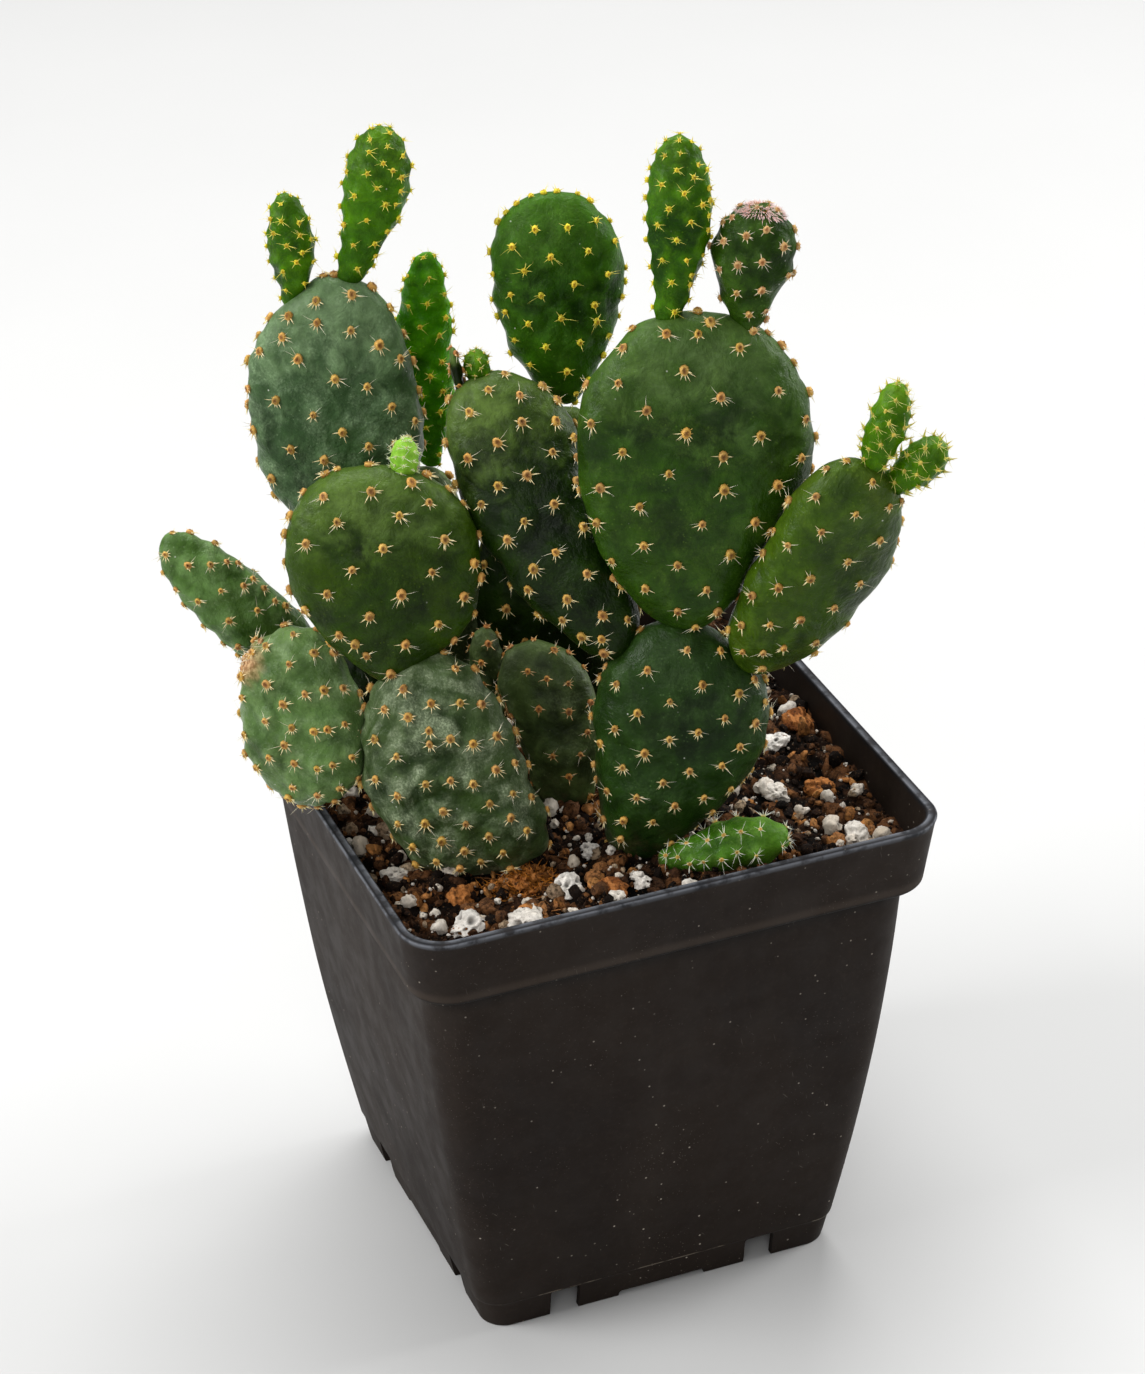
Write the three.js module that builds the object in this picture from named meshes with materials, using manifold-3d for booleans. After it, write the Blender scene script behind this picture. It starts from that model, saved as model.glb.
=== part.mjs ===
// A potted prickly pear: a square nursery pot filled with gritty soil, two
// clusters of flat stem segments (pads), young shoots and buds on the pads, a
// small offset lying on the soil, and loose perlite and bark on the surface.
// Millimetres, +Z up. The origin is the centre of the whole object's box, at
// the level of the foot that it stands on.
import * as THREE from 'three';
import { mergeVertices } from 'three/addons/utils/BufferGeometryUtils.js';
import Module from 'manifold-3d';

const wasm = await Module();
wasm.setup();

// ---------------------------------------------------------------- dimensions
const GAP = 0.3;                 // clearance between pieces that touch
// pot, as half-widths of a square with rounded corners
const POT_HEIGHT = 101.5;
const RIM_HALF = 52.5;           // outer half-width at the lip
const COLLAR_HALF = 50.7;        // outer half-width at the collar's lower edge
const COLLAR_HEIGHT = 14.3;
const SHOULDER_HALF = 47.8;      // body just under the collar
const FOOT_HALF = 36.2;          // body at the foot
const WALL_BULGE = 1.3;          // outward bow of each wall at mid height
const WALL = 1.4;                // wall thickness
const RIM_RADIUS = 8.5;          // corner radius at the rim
const FOOT_RADIUS = 5.0;         // corner radius at the foot
const FLOOR_UNDER = 6.6;         // underside of the floor above the foot edge
const FLOOR_TOP = 8.2;
const NOTCH_WIDTH = 6.0;         // square notches cut in the foot edge
const NOTCH_HEIGHT = 6.2;
const NOTCH_OFFSET = 20.3;       // from the middle of each side
const RELIEF = 1.3;              // the foot edge is raised between two notches
const DRAIN_RADIUS = 3.6;
// soil
const SOIL_LEVEL = 94.4;         // mean level of the surface
const SOIL_GRID = 17;

// Flat pads. Each one lies in a plane through its centre, spanned by side and
// up; its outline is a smooth closed curve given in polar form about the
// centre: radius(a) = r0 + sum(c_k cos ka + s_k sin ka).
const PADS = {
  pad_base_left: { centre: [-31.01, -13.92, 112.18], up: [-0.121, 0.2222, 0.9675], side: [0.8695, -0.4465, 0.2113], thick: 16,
    radius: [18.27, -0.23, -0.13, -4.16, -1.16, -0.62, -0.75, 0.25, 0.05, -0.28, 0.45, 0.09, 0.32, 0.16, 0.03, 0.09, -0.15, -0.01, -0.08] },
  pad_round_front: { centre: [-37.67, -3.1, 150.73], up: [0.0462, 0.1674, 0.9848], side: [0.9569, -0.2903, 0.0045], thick: 13,
    radius: [18.53, 0.05, 0.08, -1.43, -0.8, 0.19, 0.83, 0.26, 0.07, -0.13, -0.4, -0.2, 0.04, -0.03, 0.18, 0.08, -0.02, 0.01, -0.05] },
  pad_left_oval: { centre: [-52.9, 3.41, 119.89], up: [-0.5386, 0.5746, 0.6163], side: [0.5719, -0.2878, 0.7682], thick: 13,
    radius: [14.28, 0.22, -0.16, -0.48, 2.78, -0.12, 0.23, -0.13, 0.09, -0.1, -0.01, -0.06, -0.0, -0.02, 0.04, -0.02, -0.03, -0.01, -0.01] },
  pad_hidden_left: { centre: [-32.45, 17.52, 119.12], up: [-0.1084, 0.0885, 0.9902], side: [0.9005, -0.4132, 0.1355], thick: 11,
    radius: [14.08, 0.29, 0.2, -7.18, -0.18, 0.27, 0.16, 2.83, 0.07, -0.37, -0.27, -1.26, 0.05, 0.29, 0.21, 0.54, -0.09, -0.23, -0.17] },
  pad_left_tall: { centre: [-37.56, 20.44, 170.23], up: [0.0739, 0.0601, 0.9954], side: [0.8894, -0.4555, -0.0385], thick: 12.5,
    radius: [20.04, -0.11, 0.1, -5.53, -1.01, -0.37, 0.15, 1.29, 0.24, 0.4, -0.2, -0.55, -0.14, -0.17, 0.11, 0.26, 0.09, 0.08, -0.05] },
  pad_grey_back: { centre: [-18.84, 26.21, 123.77], up: [0.0182, 0.0325, 0.9993], side: [0.9877, -0.1556, -0.0129], thick: 10,
    radius: [14.7, 0.36, 0.13, -8.1, -0.1, 0.38, 0.09, 3.69, 0.0, -0.37, -0.11, -1.92, 0.05, 0.26, 0.1, 1.08, -0.07, -0.17, -0.08] },
  pad_base_right: { centre: [8.54, -25.41, 116.82], up: [0.273, 0.0403, 0.9612], side: [0.9176, -0.311, -0.2476], thick: 15,
    radius: [18.64, 0.21, 0.35, -3.84, -0.16, 0.88, 1.33, 1.08, -0.04, -0.47, -0.45, -0.39, 0.07, 0.27, 0.13, 0.14, -0.1, -0.09, -0.04] },
  pad_large: { centre: [14.33, -22.2, 170.01], up: [0.1037, 0.0395, 0.9938], side: [0.946, -0.3123, -0.0863], thick: 14.5,
    radius: [24.33, -0.14, 0.22, -4.57, 0.23, 0.21, 1.56, 1.05, 0.11, 0.21, -0.63, -0.32, -0.15, -0.09, 0.26, 0.13, 0.08, 0.09, -0.17] },
  pad_middle: { centre: [-8.61, -6.06, 157.5], up: [-0.2362, 0.4745, 0.848], side: [0.9618, -0.01, 0.2735], thick: 12.5,
    radius: [17.19, -0.54, 0.69, -7.99, -0.1, -0.78, 1.04, 2.42, 0.43, 0.47, -0.73, -0.71, -0.77, -0.29, 0.37, 0.26, 0.52, 0.25, -0.05] },
  pad_right: { centre: [32.52, -35.42, 150.86], up: [0.4949, -0.2707, 0.8257], side: [0.8557, -0.0135, -0.5173], thick: 12.5,
    radius: [16.43, -0.06, 0.42, -6.03, -1.69, 0.58, 0.62, 1.06, 1.06, -0.19, -0.46, -0.26, -0.11, -0.07, 0.3, 0.06, -0.12, 0.0, -0.09] },
  pad_hidden_middle: { centre: [2.69, 13.59, 130.36], up: [0.0415, 0.0056, 0.9991], side: [0.9558, -0.2915, -0.0381], thick: 11,
    radius: [19.98, -3.0, -0.42, -8.12, 0.01, -0.81, -0.22, 4.06, -0.12, 0.73, 0.43, -2.09, 0.08, -0.54, -0.44, 1.2, -0.07, 0.34, 0.38] },
  pad_upper_middle: { centre: [3.21, 12.83, 191.23], up: [-0.0117, 0.0578, 0.9983], side: [0.9617, -0.2729, 0.0271], thick: 11.5,
    radius: [14.8, 0.02, -0.15, -3.94, 0.03, 0.27, 1.0, 0.94, 0.01, -0.04, -0.58, -0.39, 0.07, -0.03, 0.31, 0.27, -0.04, 0.02, -0.21] },
  pad_small_grey: { centre: [-5.88, -2.38, 109.96], up: [-0.1684, 0.1762, 0.9698], side: [0.8843, -0.4077, 0.2276], thick: 9.5,
    radius: [11.86, 0.34, 0.31, -4.85, 0.26, 0.65, 0.63, 1.08, -0.06, -0.45, -0.44, -0.2, 0.12, 0.15, 0.14, 0.04, -0.1, -0.03, -0.01] },
};
const SHOOTS = {
  shoot_left_a: { base: [-42.88, 25.11, 190.24], tip: [-42.7, 27.18, 212.52], side: [0.959, -0.2827, 0.0189], half: 4.02, halfThick: 3.54, widest: 0.55, foot: 0.42, bend: 0.54 },
  shoot_left_b: { base: [-34.18, 21.24, 195.89], tip: [-26.1, 19.23, 225.16], side: [0.8724, -0.4083, -0.2688], half: 5.68, halfThick: 4.09, widest: 0.66, foot: 0.4, bend: 1.24 },
  shoot_narrow: { base: [-17.96, 27.1, 152.99], tip: [-17.38, 24.74, 197.37], side: [0.9408, -0.3375, -0.0305], half: 5.33, halfThick: 3.31, widest: 0.38, foot: 0.42, bend: -0.74 },
  bud_round_front: { base: [-32.94, -1.64, 166.49], tip: [-31.75, -1.02, 174.75], side: [0.9245, -0.3659, -0.1064], half: 2.37, halfThick: 2.13, widest: 0.5, foot: 0.62, bend: 0.00 },
  shoot_large_a: { base: [11.05, -19.27, 195.41], tip: [14.78, -17.48, 230.27], side: [0.9069, -0.4144, -0.0757], half: 5.54, halfThick: 4.10, widest: 0.62, foot: 0.4, bend: 1.04 },
  shoot_large_b: { base: [24.04, -23.57, 194.09], tip: [27.54, -23.84, 217.68], side: [0.8795, -0.4561, -0.1357], half: 7.04, halfThick: 5.07, widest: 0.6, foot: 0.34, bend: -0.35 },
  bud_middle: { base: [-15.11, 5.81, 178.53], tip: [-14.94, 7.89, 184.74], side: [0.9509, -0.3005, 0.0748], half: 2.33, halfThick: 2.22, widest: 0.5, foot: 0.6, bend: 0.00 },
  shoot_middle_b: { base: [-17.68, 8.06, 174.84], tip: [-19.22, 7.58, 185.94], side: [0.9546, -0.2728, 0.1198], half: 0.99, halfThick: 2.17, widest: 0.5, foot: 0.5, bend: 0.00 },
  shoot_right_a: { base: [39.94, -41.35, 171.25], tip: [45.69, -41.41, 187.54], side: [0.7925, -0.5408, -0.2818], half: 3.41, halfThick: 2.90, widest: 0.5, foot: 0.62, bend: 0.35 },
  shoot_right_b: { base: [43.9, -41.09, 167.5], tip: [52.53, -45.46, 176.38], side: [0.4072, -0.5981, -0.6902], half: 3.60, halfThick: 3.06, widest: 0.58, foot: 0.62, bend: 0.35 },
  pad_left_sausage: { base: [-39.21, 20.44, 113.21], tip: [-69.63, 28.85, 148.22], side: [0.7639, 0.1445, 0.629], half: 6.70, halfThick: 5.23, widest: 0.5, foot: 0.5, bend: -0.56 },
  stub_small: { base: [-13.98, 9.63, 93.43], tip: [-14.99, 8.94, 126.69], side: [0.9461, -0.3232, 0.0219], half: 3.21, halfThick: 2.57, widest: 0.72, foot: 0.5, bend: 0.00 },
  offset_front: { base: [1.89, -32.96, 95.2], tip: [24.82, -40.53, 99.5], side: [-0.03, -0.561, -0.8273], half: 4.95, halfThick: 4.46, widest: 0.58, foot: 0.45, bend: 0.00 },
};

// which segment grew on which: the child is fitted to the parent
const JOINED = [
  ['pad_round_front', 'pad_base_left'], ['pad_left_oval', 'pad_base_left'], ['bud_round_front', 'pad_round_front'],
  ['pad_left_tall', 'pad_hidden_left'], ['pad_left_sausage', 'pad_hidden_left'],
  ['shoot_left_a', 'pad_left_tall'], ['shoot_left_b', 'pad_left_tall'], ['shoot_narrow', 'pad_grey_back'],
  ['pad_large', 'pad_base_right'], ['pad_middle', 'pad_base_right'], ['pad_right', 'pad_base_right'],
  ['shoot_large_a', 'pad_large'], ['shoot_large_b', 'pad_large'],
  ['bud_middle', 'pad_middle'], ['shoot_middle_b', 'pad_middle'],
  ['shoot_right_a', 'pad_right'], ['shoot_right_b', 'pad_right'],
  ['pad_upper_middle', 'pad_hidden_middle'],
];
const ROOTED = ['pad_base_left', 'pad_base_right', 'pad_small_grey', 'pad_hidden_left', 'pad_hidden_middle', 'pad_grey_back', 'stub_small', 'offset_front'];
const FINISH = {
  pad_base_left: 'bloom', pad_round_front: 'pad', bud_round_front: 'lime', pad_left_oval: 'pad', pad_left_sausage: 'pad',
  pad_hidden_left: 'pad', pad_left_tall: 'bloom', shoot_left_a: 'young', shoot_left_b: 'young',
  pad_grey_back: 'bloom', shoot_narrow: 'young', stub_small: 'pad',
  pad_base_right: 'pad', pad_large: 'pad', shoot_large_a: 'young', shoot_large_b: 'pad',
  pad_middle: 'pad', bud_middle: 'young', shoot_middle_b: 'pad', pad_right: 'pad', shoot_right_a: 'lime', shoot_right_b: 'lime',
  pad_hidden_middle: 'pad', pad_upper_middle: 'young', pad_small_grey: 'bloom', offset_front: 'young',
};

// loose lumps on the soil: x, y, size, flatness, turn
const PERLITE = [
  [-36.5, -37.5, 6.6, 0.62, 0.4], [-27.4, -42.4, 6.6, 0.60, 1.9], [-16.0, -34.0, 5.2, 0.70, 0.9],
  [-43.2, -16.2, 4.4, 0.70, 2.6], [-7.6, -23.2, 3.8, 0.72, 0.2], [41.2, -35.0, 5.6, 0.70, 1.2],
  [38.6, -4.2, 5.4, 0.60, 0.5], [32.2, -19.2, 4.8, 0.70, 2.2], [-3.2, -37.6, 4.2, 0.66, 1.6],
];
const BARK = [
  [-35.0, -28.4, 5.4, 0.55, 0.7], [-9.6, -38.8, 5.4, 0.60, 2.4], [45.6, 1.2, 6.2, 0.55, 1.1],
  [41.0, -19.0, 5.0, 0.60, 0.2],
];

// ------------------------------------------------------------------- helpers
const merged = (geometry) => {
  const g = geometry.clone();
  g.deleteAttribute('normal');
  g.deleteAttribute('uv');
  return mergeVertices(g, 1e-4);
};

function solid(geometry) {
  const g = merged(geometry);
  const made = new wasm.Manifold(new wasm.Mesh({
    numProp: 3,
    vertProperties: new Float32Array(g.attributes.position.array),
    triVerts: new Uint32Array(g.index.array),
  }));
  return made;
}

function geometryOf(body) {
  const mesh = body.getMesh();
  const g = new THREE.BufferGeometry();
  g.setAttribute('position', new THREE.BufferAttribute(new Float32Array(mesh.vertProperties), 3));
  g.setIndex(new THREE.BufferAttribute(new Uint32Array(mesh.triVerts), 1));
  g.computeVertexNormals();
  return g;
}

// the largest connected body of a solid
function mainBody(body) {
  const pieces = body.decompose();
  let best = pieces[0];
  for (const p of pieces) if (p.volume() > best.volume()) best = p;
  return best;
}

// faces turned so that they point out
function outward(geometry) {
  const p = geometry.attributes.position, ix = geometry.index;
  const a = new THREE.Vector3(), b = new THREE.Vector3(), c = new THREE.Vector3();
  let v = 0;
  for (let i = 0; i < ix.count; i += 3) {
    a.fromBufferAttribute(p, ix.getX(i)); b.fromBufferAttribute(p, ix.getX(i + 1)); c.fromBufferAttribute(p, ix.getX(i + 2));
    v += a.dot(b.cross(c));
  }
  if (v < 0) for (let i = 0; i < ix.count; i += 3) { const t = ix.getX(i); ix.setX(i, ix.getX(i + 2)); ix.setX(i + 2, t); }
  return geometry;
}

const smooth = (x) => { const t = Math.min(1, Math.max(0, x)); return t * t * (3 - 2 * t); };
const wave = (x, y) => Math.sin(x * 0.31 + 1.3) * Math.cos(y * 0.27 + 0.4) + 0.6 * Math.sin(x * 0.13 - y * 0.19 + 2.1) + 0.35 * Math.sin(x * 0.71 + y * 0.53);

// ---------------------------------------------------------------------- pads
function outline(pad, a) {
  const r = pad.radius;
  let v = r[0];
  for (let k = 1; 2 * k < r.length; k++) v += r[2 * k - 1] * Math.cos(k * a) + r[2 * k] * Math.sin(k * a);
  return v;
}

// a sphere drawn out to the pad's outline, with a full rounded edge
function padGeometry(pad, grow = 0, around = 20, rings = 9) {
  const g = merged(new THREE.SphereGeometry(1, around, rings));
  const side = new THREE.Vector3(...pad.side).normalize(), up = new THREE.Vector3(...pad.up).normalize();
  const out = new THREE.Vector3().crossVectors(side, up).normalize();
  const centre = new THREE.Vector3(...pad.centre);
  const p = g.attributes.position, v = new THREE.Vector3();
  for (let i = 0; i < p.count; i++) {
    v.fromBufferAttribute(p, i);
    const flat = Math.hypot(v.x, v.z), a = Math.atan2(v.z, v.x);
    const rho = Math.pow(flat, 0.8), h = Math.sign(v.y) * Math.pow(Math.abs(v.y), 0.8);
    const r = (outline(pad, a) + grow) * rho;
    const q = centre.clone().addScaledVector(side, r * Math.cos(a)).addScaledVector(up, r * Math.sin(a))
      .addScaledVector(out, h * (pad.thick / 2 + grow));
    p.setXYZ(i, q.x, q.y, q.z);
  }
  return outward(g);
}

// ------------------------------------------------------------ shoots and buds
function shootWidth(s, t) {
  const foot = s.foot + (1 - s.foot) * smooth(t / s.widest);
  const tip = t > s.widest ? Math.sqrt(Math.max(0, 1 - Math.pow((t - s.widest) / (1 - s.widest), 2.3))) : 1;
  const end = t < 0.06 ? Math.sqrt(Math.max(0, 1 - Math.pow(1 - t / 0.06, 2))) : 1;
  return foot * tip * end;
}

function shootGeometry(s, grow = 0, around = 12, rings = 9) {
  const g = merged(new THREE.SphereGeometry(1, around, rings));
  const base = new THREE.Vector3(...s.base), tip = new THREE.Vector3(...s.tip);
  const axis = tip.clone().sub(base), length = axis.length();
  axis.normalize();
  const side = new THREE.Vector3(...s.side).normalize();
  const out = new THREE.Vector3().crossVectors(side, axis).normalize();
  const p = g.attributes.position, v = new THREE.Vector3();
  for (let i = 0; i < p.count; i++) {
    v.fromBufferAttribute(p, i);
    const t = (1 + v.y) / 2, a = Math.atan2(v.z, v.x);
    const w = Math.hypot(v.x, v.z) < 1e-6 ? 0 : shootWidth(s, t);
    const along = t * length + grow * v.y, bend = s.bend * 4 * t * (1 - t);
    const q = base.clone().addScaledVector(axis, along)
      .addScaledVector(side, bend + (w ? s.half * w + grow : 0) * Math.cos(a))
      .addScaledVector(out, (w ? s.halfThick * w + grow : 0) * Math.sin(a));
    p.setXYZ(i, q.x, q.y, q.z);
  }
  return outward(g);
}

// --------------------------------------------------------------------- lumps
function lumpGeometry([x, y, size, flat, turn], z, seed, grow = 0) {
  const g = merged(new THREE.IcosahedronGeometry(1, 1));
  const p = g.attributes.position, v = new THREE.Vector3();
  for (let i = 0; i < p.count; i++) {
    v.fromBufferAttribute(p, i);
    const n = 1 + 0.13 * Math.sin(v.x * 3.1 + seed * 1.7) + 0.11 * Math.sin(v.y * 4.3 + seed * 2.9) + 0.09 * Math.cos(v.z * 5.1 + seed);
    const r = (size / 2) * n + grow;
    const c = Math.cos(turn), s = Math.sin(turn);
    const px = v.x * r, py = v.y * r * 0.8, pz = v.z * r * flat;
    p.setXYZ(i, x + px * c - py * s, y + px * s + py * c, z + pz);
  }
  return outward(g);
}

// ----------------------------------------------------------------------- pot
// point i of n on a square with rounded corners, counter-clockwise from the
// middle of the +X side
function squarePoint(i, n, half, radius) {
  const quarter = n / 4, q = Math.floor(((i + quarter / 2) % n) / quarter), k = ((i + quarter / 2) % n) - q * quarter;
  // along one quarter: half a side, the corner arc, half a side
  const t = k / quarter, straight = half - radius;
  let x, y;
  // k runs across one side: corner arc end, side, corner arc start
  const arc = 0.36;
  if (t < arc / 2) {
    const a = -Math.PI / 4 + (t / (arc / 2)) * Math.PI / 4;
    x = straight + radius * Math.cos(a); y = -straight + radius * Math.sin(a);
  } else if (t > 1 - arc / 2) {
    const a = ((t - 1 + arc / 2) / (arc / 2)) * Math.PI / 4;
    x = straight + radius * Math.cos(a); y = straight + radius * Math.sin(a);
  } else {
    x = half; y = straight * (2 * (t - arc / 2) / (1 - arc) - 1);
  }
  const c = [1, 0, -1, 0][q], s = [0, 1, 0, -1][q];
  return [x * c - y * s, x * s + y * c];
}

const AROUND = 40;
// a turned profile of [half-width, height, corner radius] made square
function squareLathe(profile) {
  const pts = profile.map(([h, z]) => new THREE.Vector2(h, z));
  const g = merged(new THREE.LatheGeometry(pts, AROUND));
  const p = g.attributes.position;
  for (let i = 0; i < p.count; i++) {
    const x = p.getX(i), z = p.getY(i), y = p.getZ(i);
    const h = Math.hypot(x, y);
    if (h < 1e-6) { p.setXYZ(i, 0, 0, z); continue; }
    let radius = 1;
    for (const [ph, pz, pr] of profile) if (Math.abs(ph - h) < 1e-3 && Math.abs(pz - z) < 1e-3) radius = pr;
    const k = Math.round(((Math.atan2(y, x) / (2 * Math.PI)) * AROUND + AROUND) % AROUND) % AROUND;
    const [sx, sy] = squarePoint(k, AROUND, h, Math.min(radius, h - 0.5));
    p.setXYZ(i, sx, sy, z);
  }
  return outward(g);
}

const collarBottom = POT_HEIGHT - COLLAR_HEIGHT;
const wallAt = (z) => {
  const t = z / collarBottom;
  return FOOT_HALF + (SHOULDER_HALF - FOOT_HALF) * t + WALL_BULGE * Math.sin(Math.PI * t);
};
const cornerAt = (z) => FOOT_RADIUS + (RIM_RADIUS - FOOT_RADIUS) * (z / POT_HEIGHT);

function potGeometry() {
  const profile = [];
  const add = (h, z, r) => profile.push([h, z, r]);
  // outside, from the foot edge up
  add(wallAt(0) - 0.3, 0, FOOT_RADIUS);
  add(wallAt(6.3) - 0.3, 6.3, cornerAt(6.3));
  add(wallAt(6.9), 6.9, cornerAt(6.9));
  for (const z of [24, 44, 66, collarBottom - 0.9]) add(wallAt(z), z, cornerAt(z));
  add(COLLAR_HALF - 0.5, collarBottom - 0.2, cornerAt(collarBottom));
  add(COLLAR_HALF, collarBottom + 0.6, cornerAt(collarBottom));
  add(RIM_HALF - 0.15, POT_HEIGHT - 1.0, RIM_RADIUS);
  add(RIM_HALF, POT_HEIGHT - 0.4, RIM_RADIUS);
  add(RIM_HALF - 0.5, POT_HEIGHT, RIM_RADIUS);
  // lip and inside, down to the floor
  add(RIM_HALF - WALL - 0.2, POT_HEIGHT, RIM_RADIUS - 1.4);
  add(RIM_HALF - WALL - 0.7, POT_HEIGHT - 0.8, RIM_RADIUS - 1.6);
  add(COLLAR_HALF - WALL, collarBottom + 2.6, cornerAt(collarBottom) - 1.4);
  add(wallAt(collarBottom) - WALL, collarBottom + 0.8, cornerAt(collarBottom) - 1.4);
  for (const z of [66, 44, 24]) add(wallAt(z) - WALL, z, cornerAt(z) - WALL);
  add(wallAt(FLOOR_TOP) - WALL, FLOOR_TOP, cornerAt(FLOOR_TOP) - WALL);
  add(0, FLOOR_TOP, 1);
  add(0, FLOOR_UNDER, 1);
  add(wallAt(FLOOR_UNDER) - WALL - 0.2, FLOOR_UNDER, FOOT_RADIUS - WALL);
  add(wallAt(0) - WALL - 0.2, 0, FOOT_RADIUS - WALL);
  add(...profile[0]);
  return squareLathe(profile);
}

const boxAt = (w, d, h, x, y, z) => solid(new THREE.BoxGeometry(w, d, h).translate(x, y, z));

let potBody = solid(potGeometry());
for (let side = 0; side < 4; side++) {
  const c = [1, 0, -1, 0][side], s = [0, 1, 0, -1][side];
  const cut = (w, d, h, x, y, z) => boxAt(c ? w : d, c ? d : w, h, x * c - y * s, x * s + y * c, z);
  for (const o of [-NOTCH_OFFSET, NOTCH_OFFSET])
    potBody = potBody.subtract(cut(12, NOTCH_WIDTH, NOTCH_HEIGHT + 2, FOOT_HALF, o, (NOTCH_HEIGHT - 2) / 2));
  potBody = potBody.subtract(cut(12, 18, RELIEF + 2, FOOT_HALF, 0, (RELIEF - 2) / 2));
}
for (const [x, y] of [[0, 0], [19, 19], [-19, 19], [-19, -19], [19, -19], [0, 24], [0, -24], [24, 0], [-24, 0]])
  potBody = potBody.subtract(solid(new THREE.CylinderGeometry(DRAIN_RADIUS, DRAIN_RADIUS, 6, 12).rotateX(Math.PI / 2).translate(x, y, FLOOR_UNDER + 0.8)));

// ------------------------------------------------------- build the plant's solids
const bodies = {};
const inflated = {};
for (const [name, pad] of Object.entries(PADS)) { bodies[name] = solid(padGeometry(pad)); inflated[name] = solid(padGeometry(pad, GAP + 0.05)); }
for (const [name, s] of Object.entries(SHOOTS)) { bodies[name] = solid(shootGeometry(s)); inflated[name] = solid(shootGeometry(s, GAP + 0.05)); }
// each segment meets the one that carries it in a fitted joint
for (const [child, parent] of JOINED) bodies[child] = mainBody(bodies[child].subtract(inflated[parent]));

// ---------------------------------------------------------------------- soil
function soilLevel(x, y) {
  const corner = smooth((x - 18) / 30) * smooth((-y - 8) / 36);
  const back = smooth((y - 5) / 45);
  return SOIL_LEVEL + 0.75 * wave(x, y) - 3.6 * corner + 0.6 * back;
}
function soilGeometry() {
  // a box whose top is shaped; its sides follow the pot's inner wall
  const g = merged(new THREE.BoxGeometry(2, 2, 1, SOIL_GRID, SOIL_GRID, 1));
  const p = g.attributes.position;
  for (let i = 0; i < p.count; i++) {
    const x = p.getX(i) * RIM_HALF, y = p.getY(i) * RIM_HALF;
    p.setXYZ(i, x, y, p.getZ(i) > 0 ? soilLevel(x, y) : -1);
  }
  return outward(g);
}
function potInsideGeometry() {
  const profile = [[0, FLOOR_TOP + GAP, 1]];
  for (const z of [FLOOR_TOP + GAP, 24, 44, 66, collarBottom + 0.8]) profile.push([wallAt(Math.min(z, collarBottom)) - WALL - GAP - 0.12, z, cornerAt(z) - WALL - 0.4]);
  profile.push([COLLAR_HALF - WALL - GAP - 0.12, collarBottom + 2.6 + 0.5, cornerAt(collarBottom) - WALL - 0.4]);
  profile.push([RIM_HALF - WALL - 0.7 - GAP - 0.12, POT_HEIGHT - 0.8, RIM_RADIUS - WALL - 0.6]);
  profile.push([0, POT_HEIGHT - 0.8, 1]);
  return squareLathe(profile);
}
let soilBody = solid(soilGeometry()).intersect(solid(potInsideGeometry()));
for (const name of ROOTED) soilBody = soilBody.subtract(inflated[name]);

const lumps = {};
PERLITE.forEach((l, i) => { lumps[`perlite_${i + 1}`] = lumpGeometry(l, soilLevel(l[0], l[1]) + l[2] * 0.12, i + 1); });
BARK.forEach((l, i) => { lumps[`bark_${i + 1}`] = lumpGeometry(l, soilLevel(l[0], l[1]) + l[2] * 0.08, i + 21); });
const lumpGrown = [
  ...PERLITE.map((l, i) => lumpGeometry(l, soilLevel(l[0], l[1]) + l[2] * 0.12, i + 1, GAP + 0.05)),
  ...BARK.map((l, i) => lumpGeometry(l, soilLevel(l[0], l[1]) + l[2] * 0.08, i + 21, GAP + 0.05)),
];
for (const g of lumpGrown) soilBody = soilBody.subtract(solid(g));
soilBody = mainBody(soilBody);

// ------------------------------------------------------------------ materials
const material = (color, roughness) => new THREE.MeshStandardMaterial({ color, roughness, metalness: 0 });
const LOOK = {
  pot: material(0x1c1b1b, 0.5),
  soil: material(0x2c1a10, 0.95),
  perlite: material(0xd9d2c8, 0.9),
  bark: material(0x8a4f20, 0.9),
  pad: material(0x2f5a2c, 0.5),
  bloom: material(0x4a6a58, 0.6),
  young: material(0x4f8f2b, 0.5),
  lime: material(0x7fc23a, 0.55),
};

const group = new THREE.Group();
group.name = 'potted_prickly_pear';
function place(name, geometry, look) {
  const mesh = new THREE.Mesh(geometry, LOOK[look]);
  mesh.name = name;
  group.add(mesh);
}
place('pot', geometryOf(mainBody(potBody)), 'pot');
place('soil', geometryOf(soilBody), 'soil');
for (const [name, look] of Object.entries(FINISH)) place(name, geometryOf(bodies[name]), look);
for (const [name, geometry] of Object.entries(lumps)) place(name, geometry, name.startsWith('perlite') ? 'perlite' : 'bark');

// the origin goes to the middle of the box, at the foot
const box = new THREE.Box3().setFromObject(group, true);
group.position.set(-(box.min.x + box.max.x) / 2, -(box.min.y + box.max.y) / 2, -box.min.z);

export default group;
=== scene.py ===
import math
import bpy
import numpy as np
from mathutils import Matrix, Vector


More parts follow.
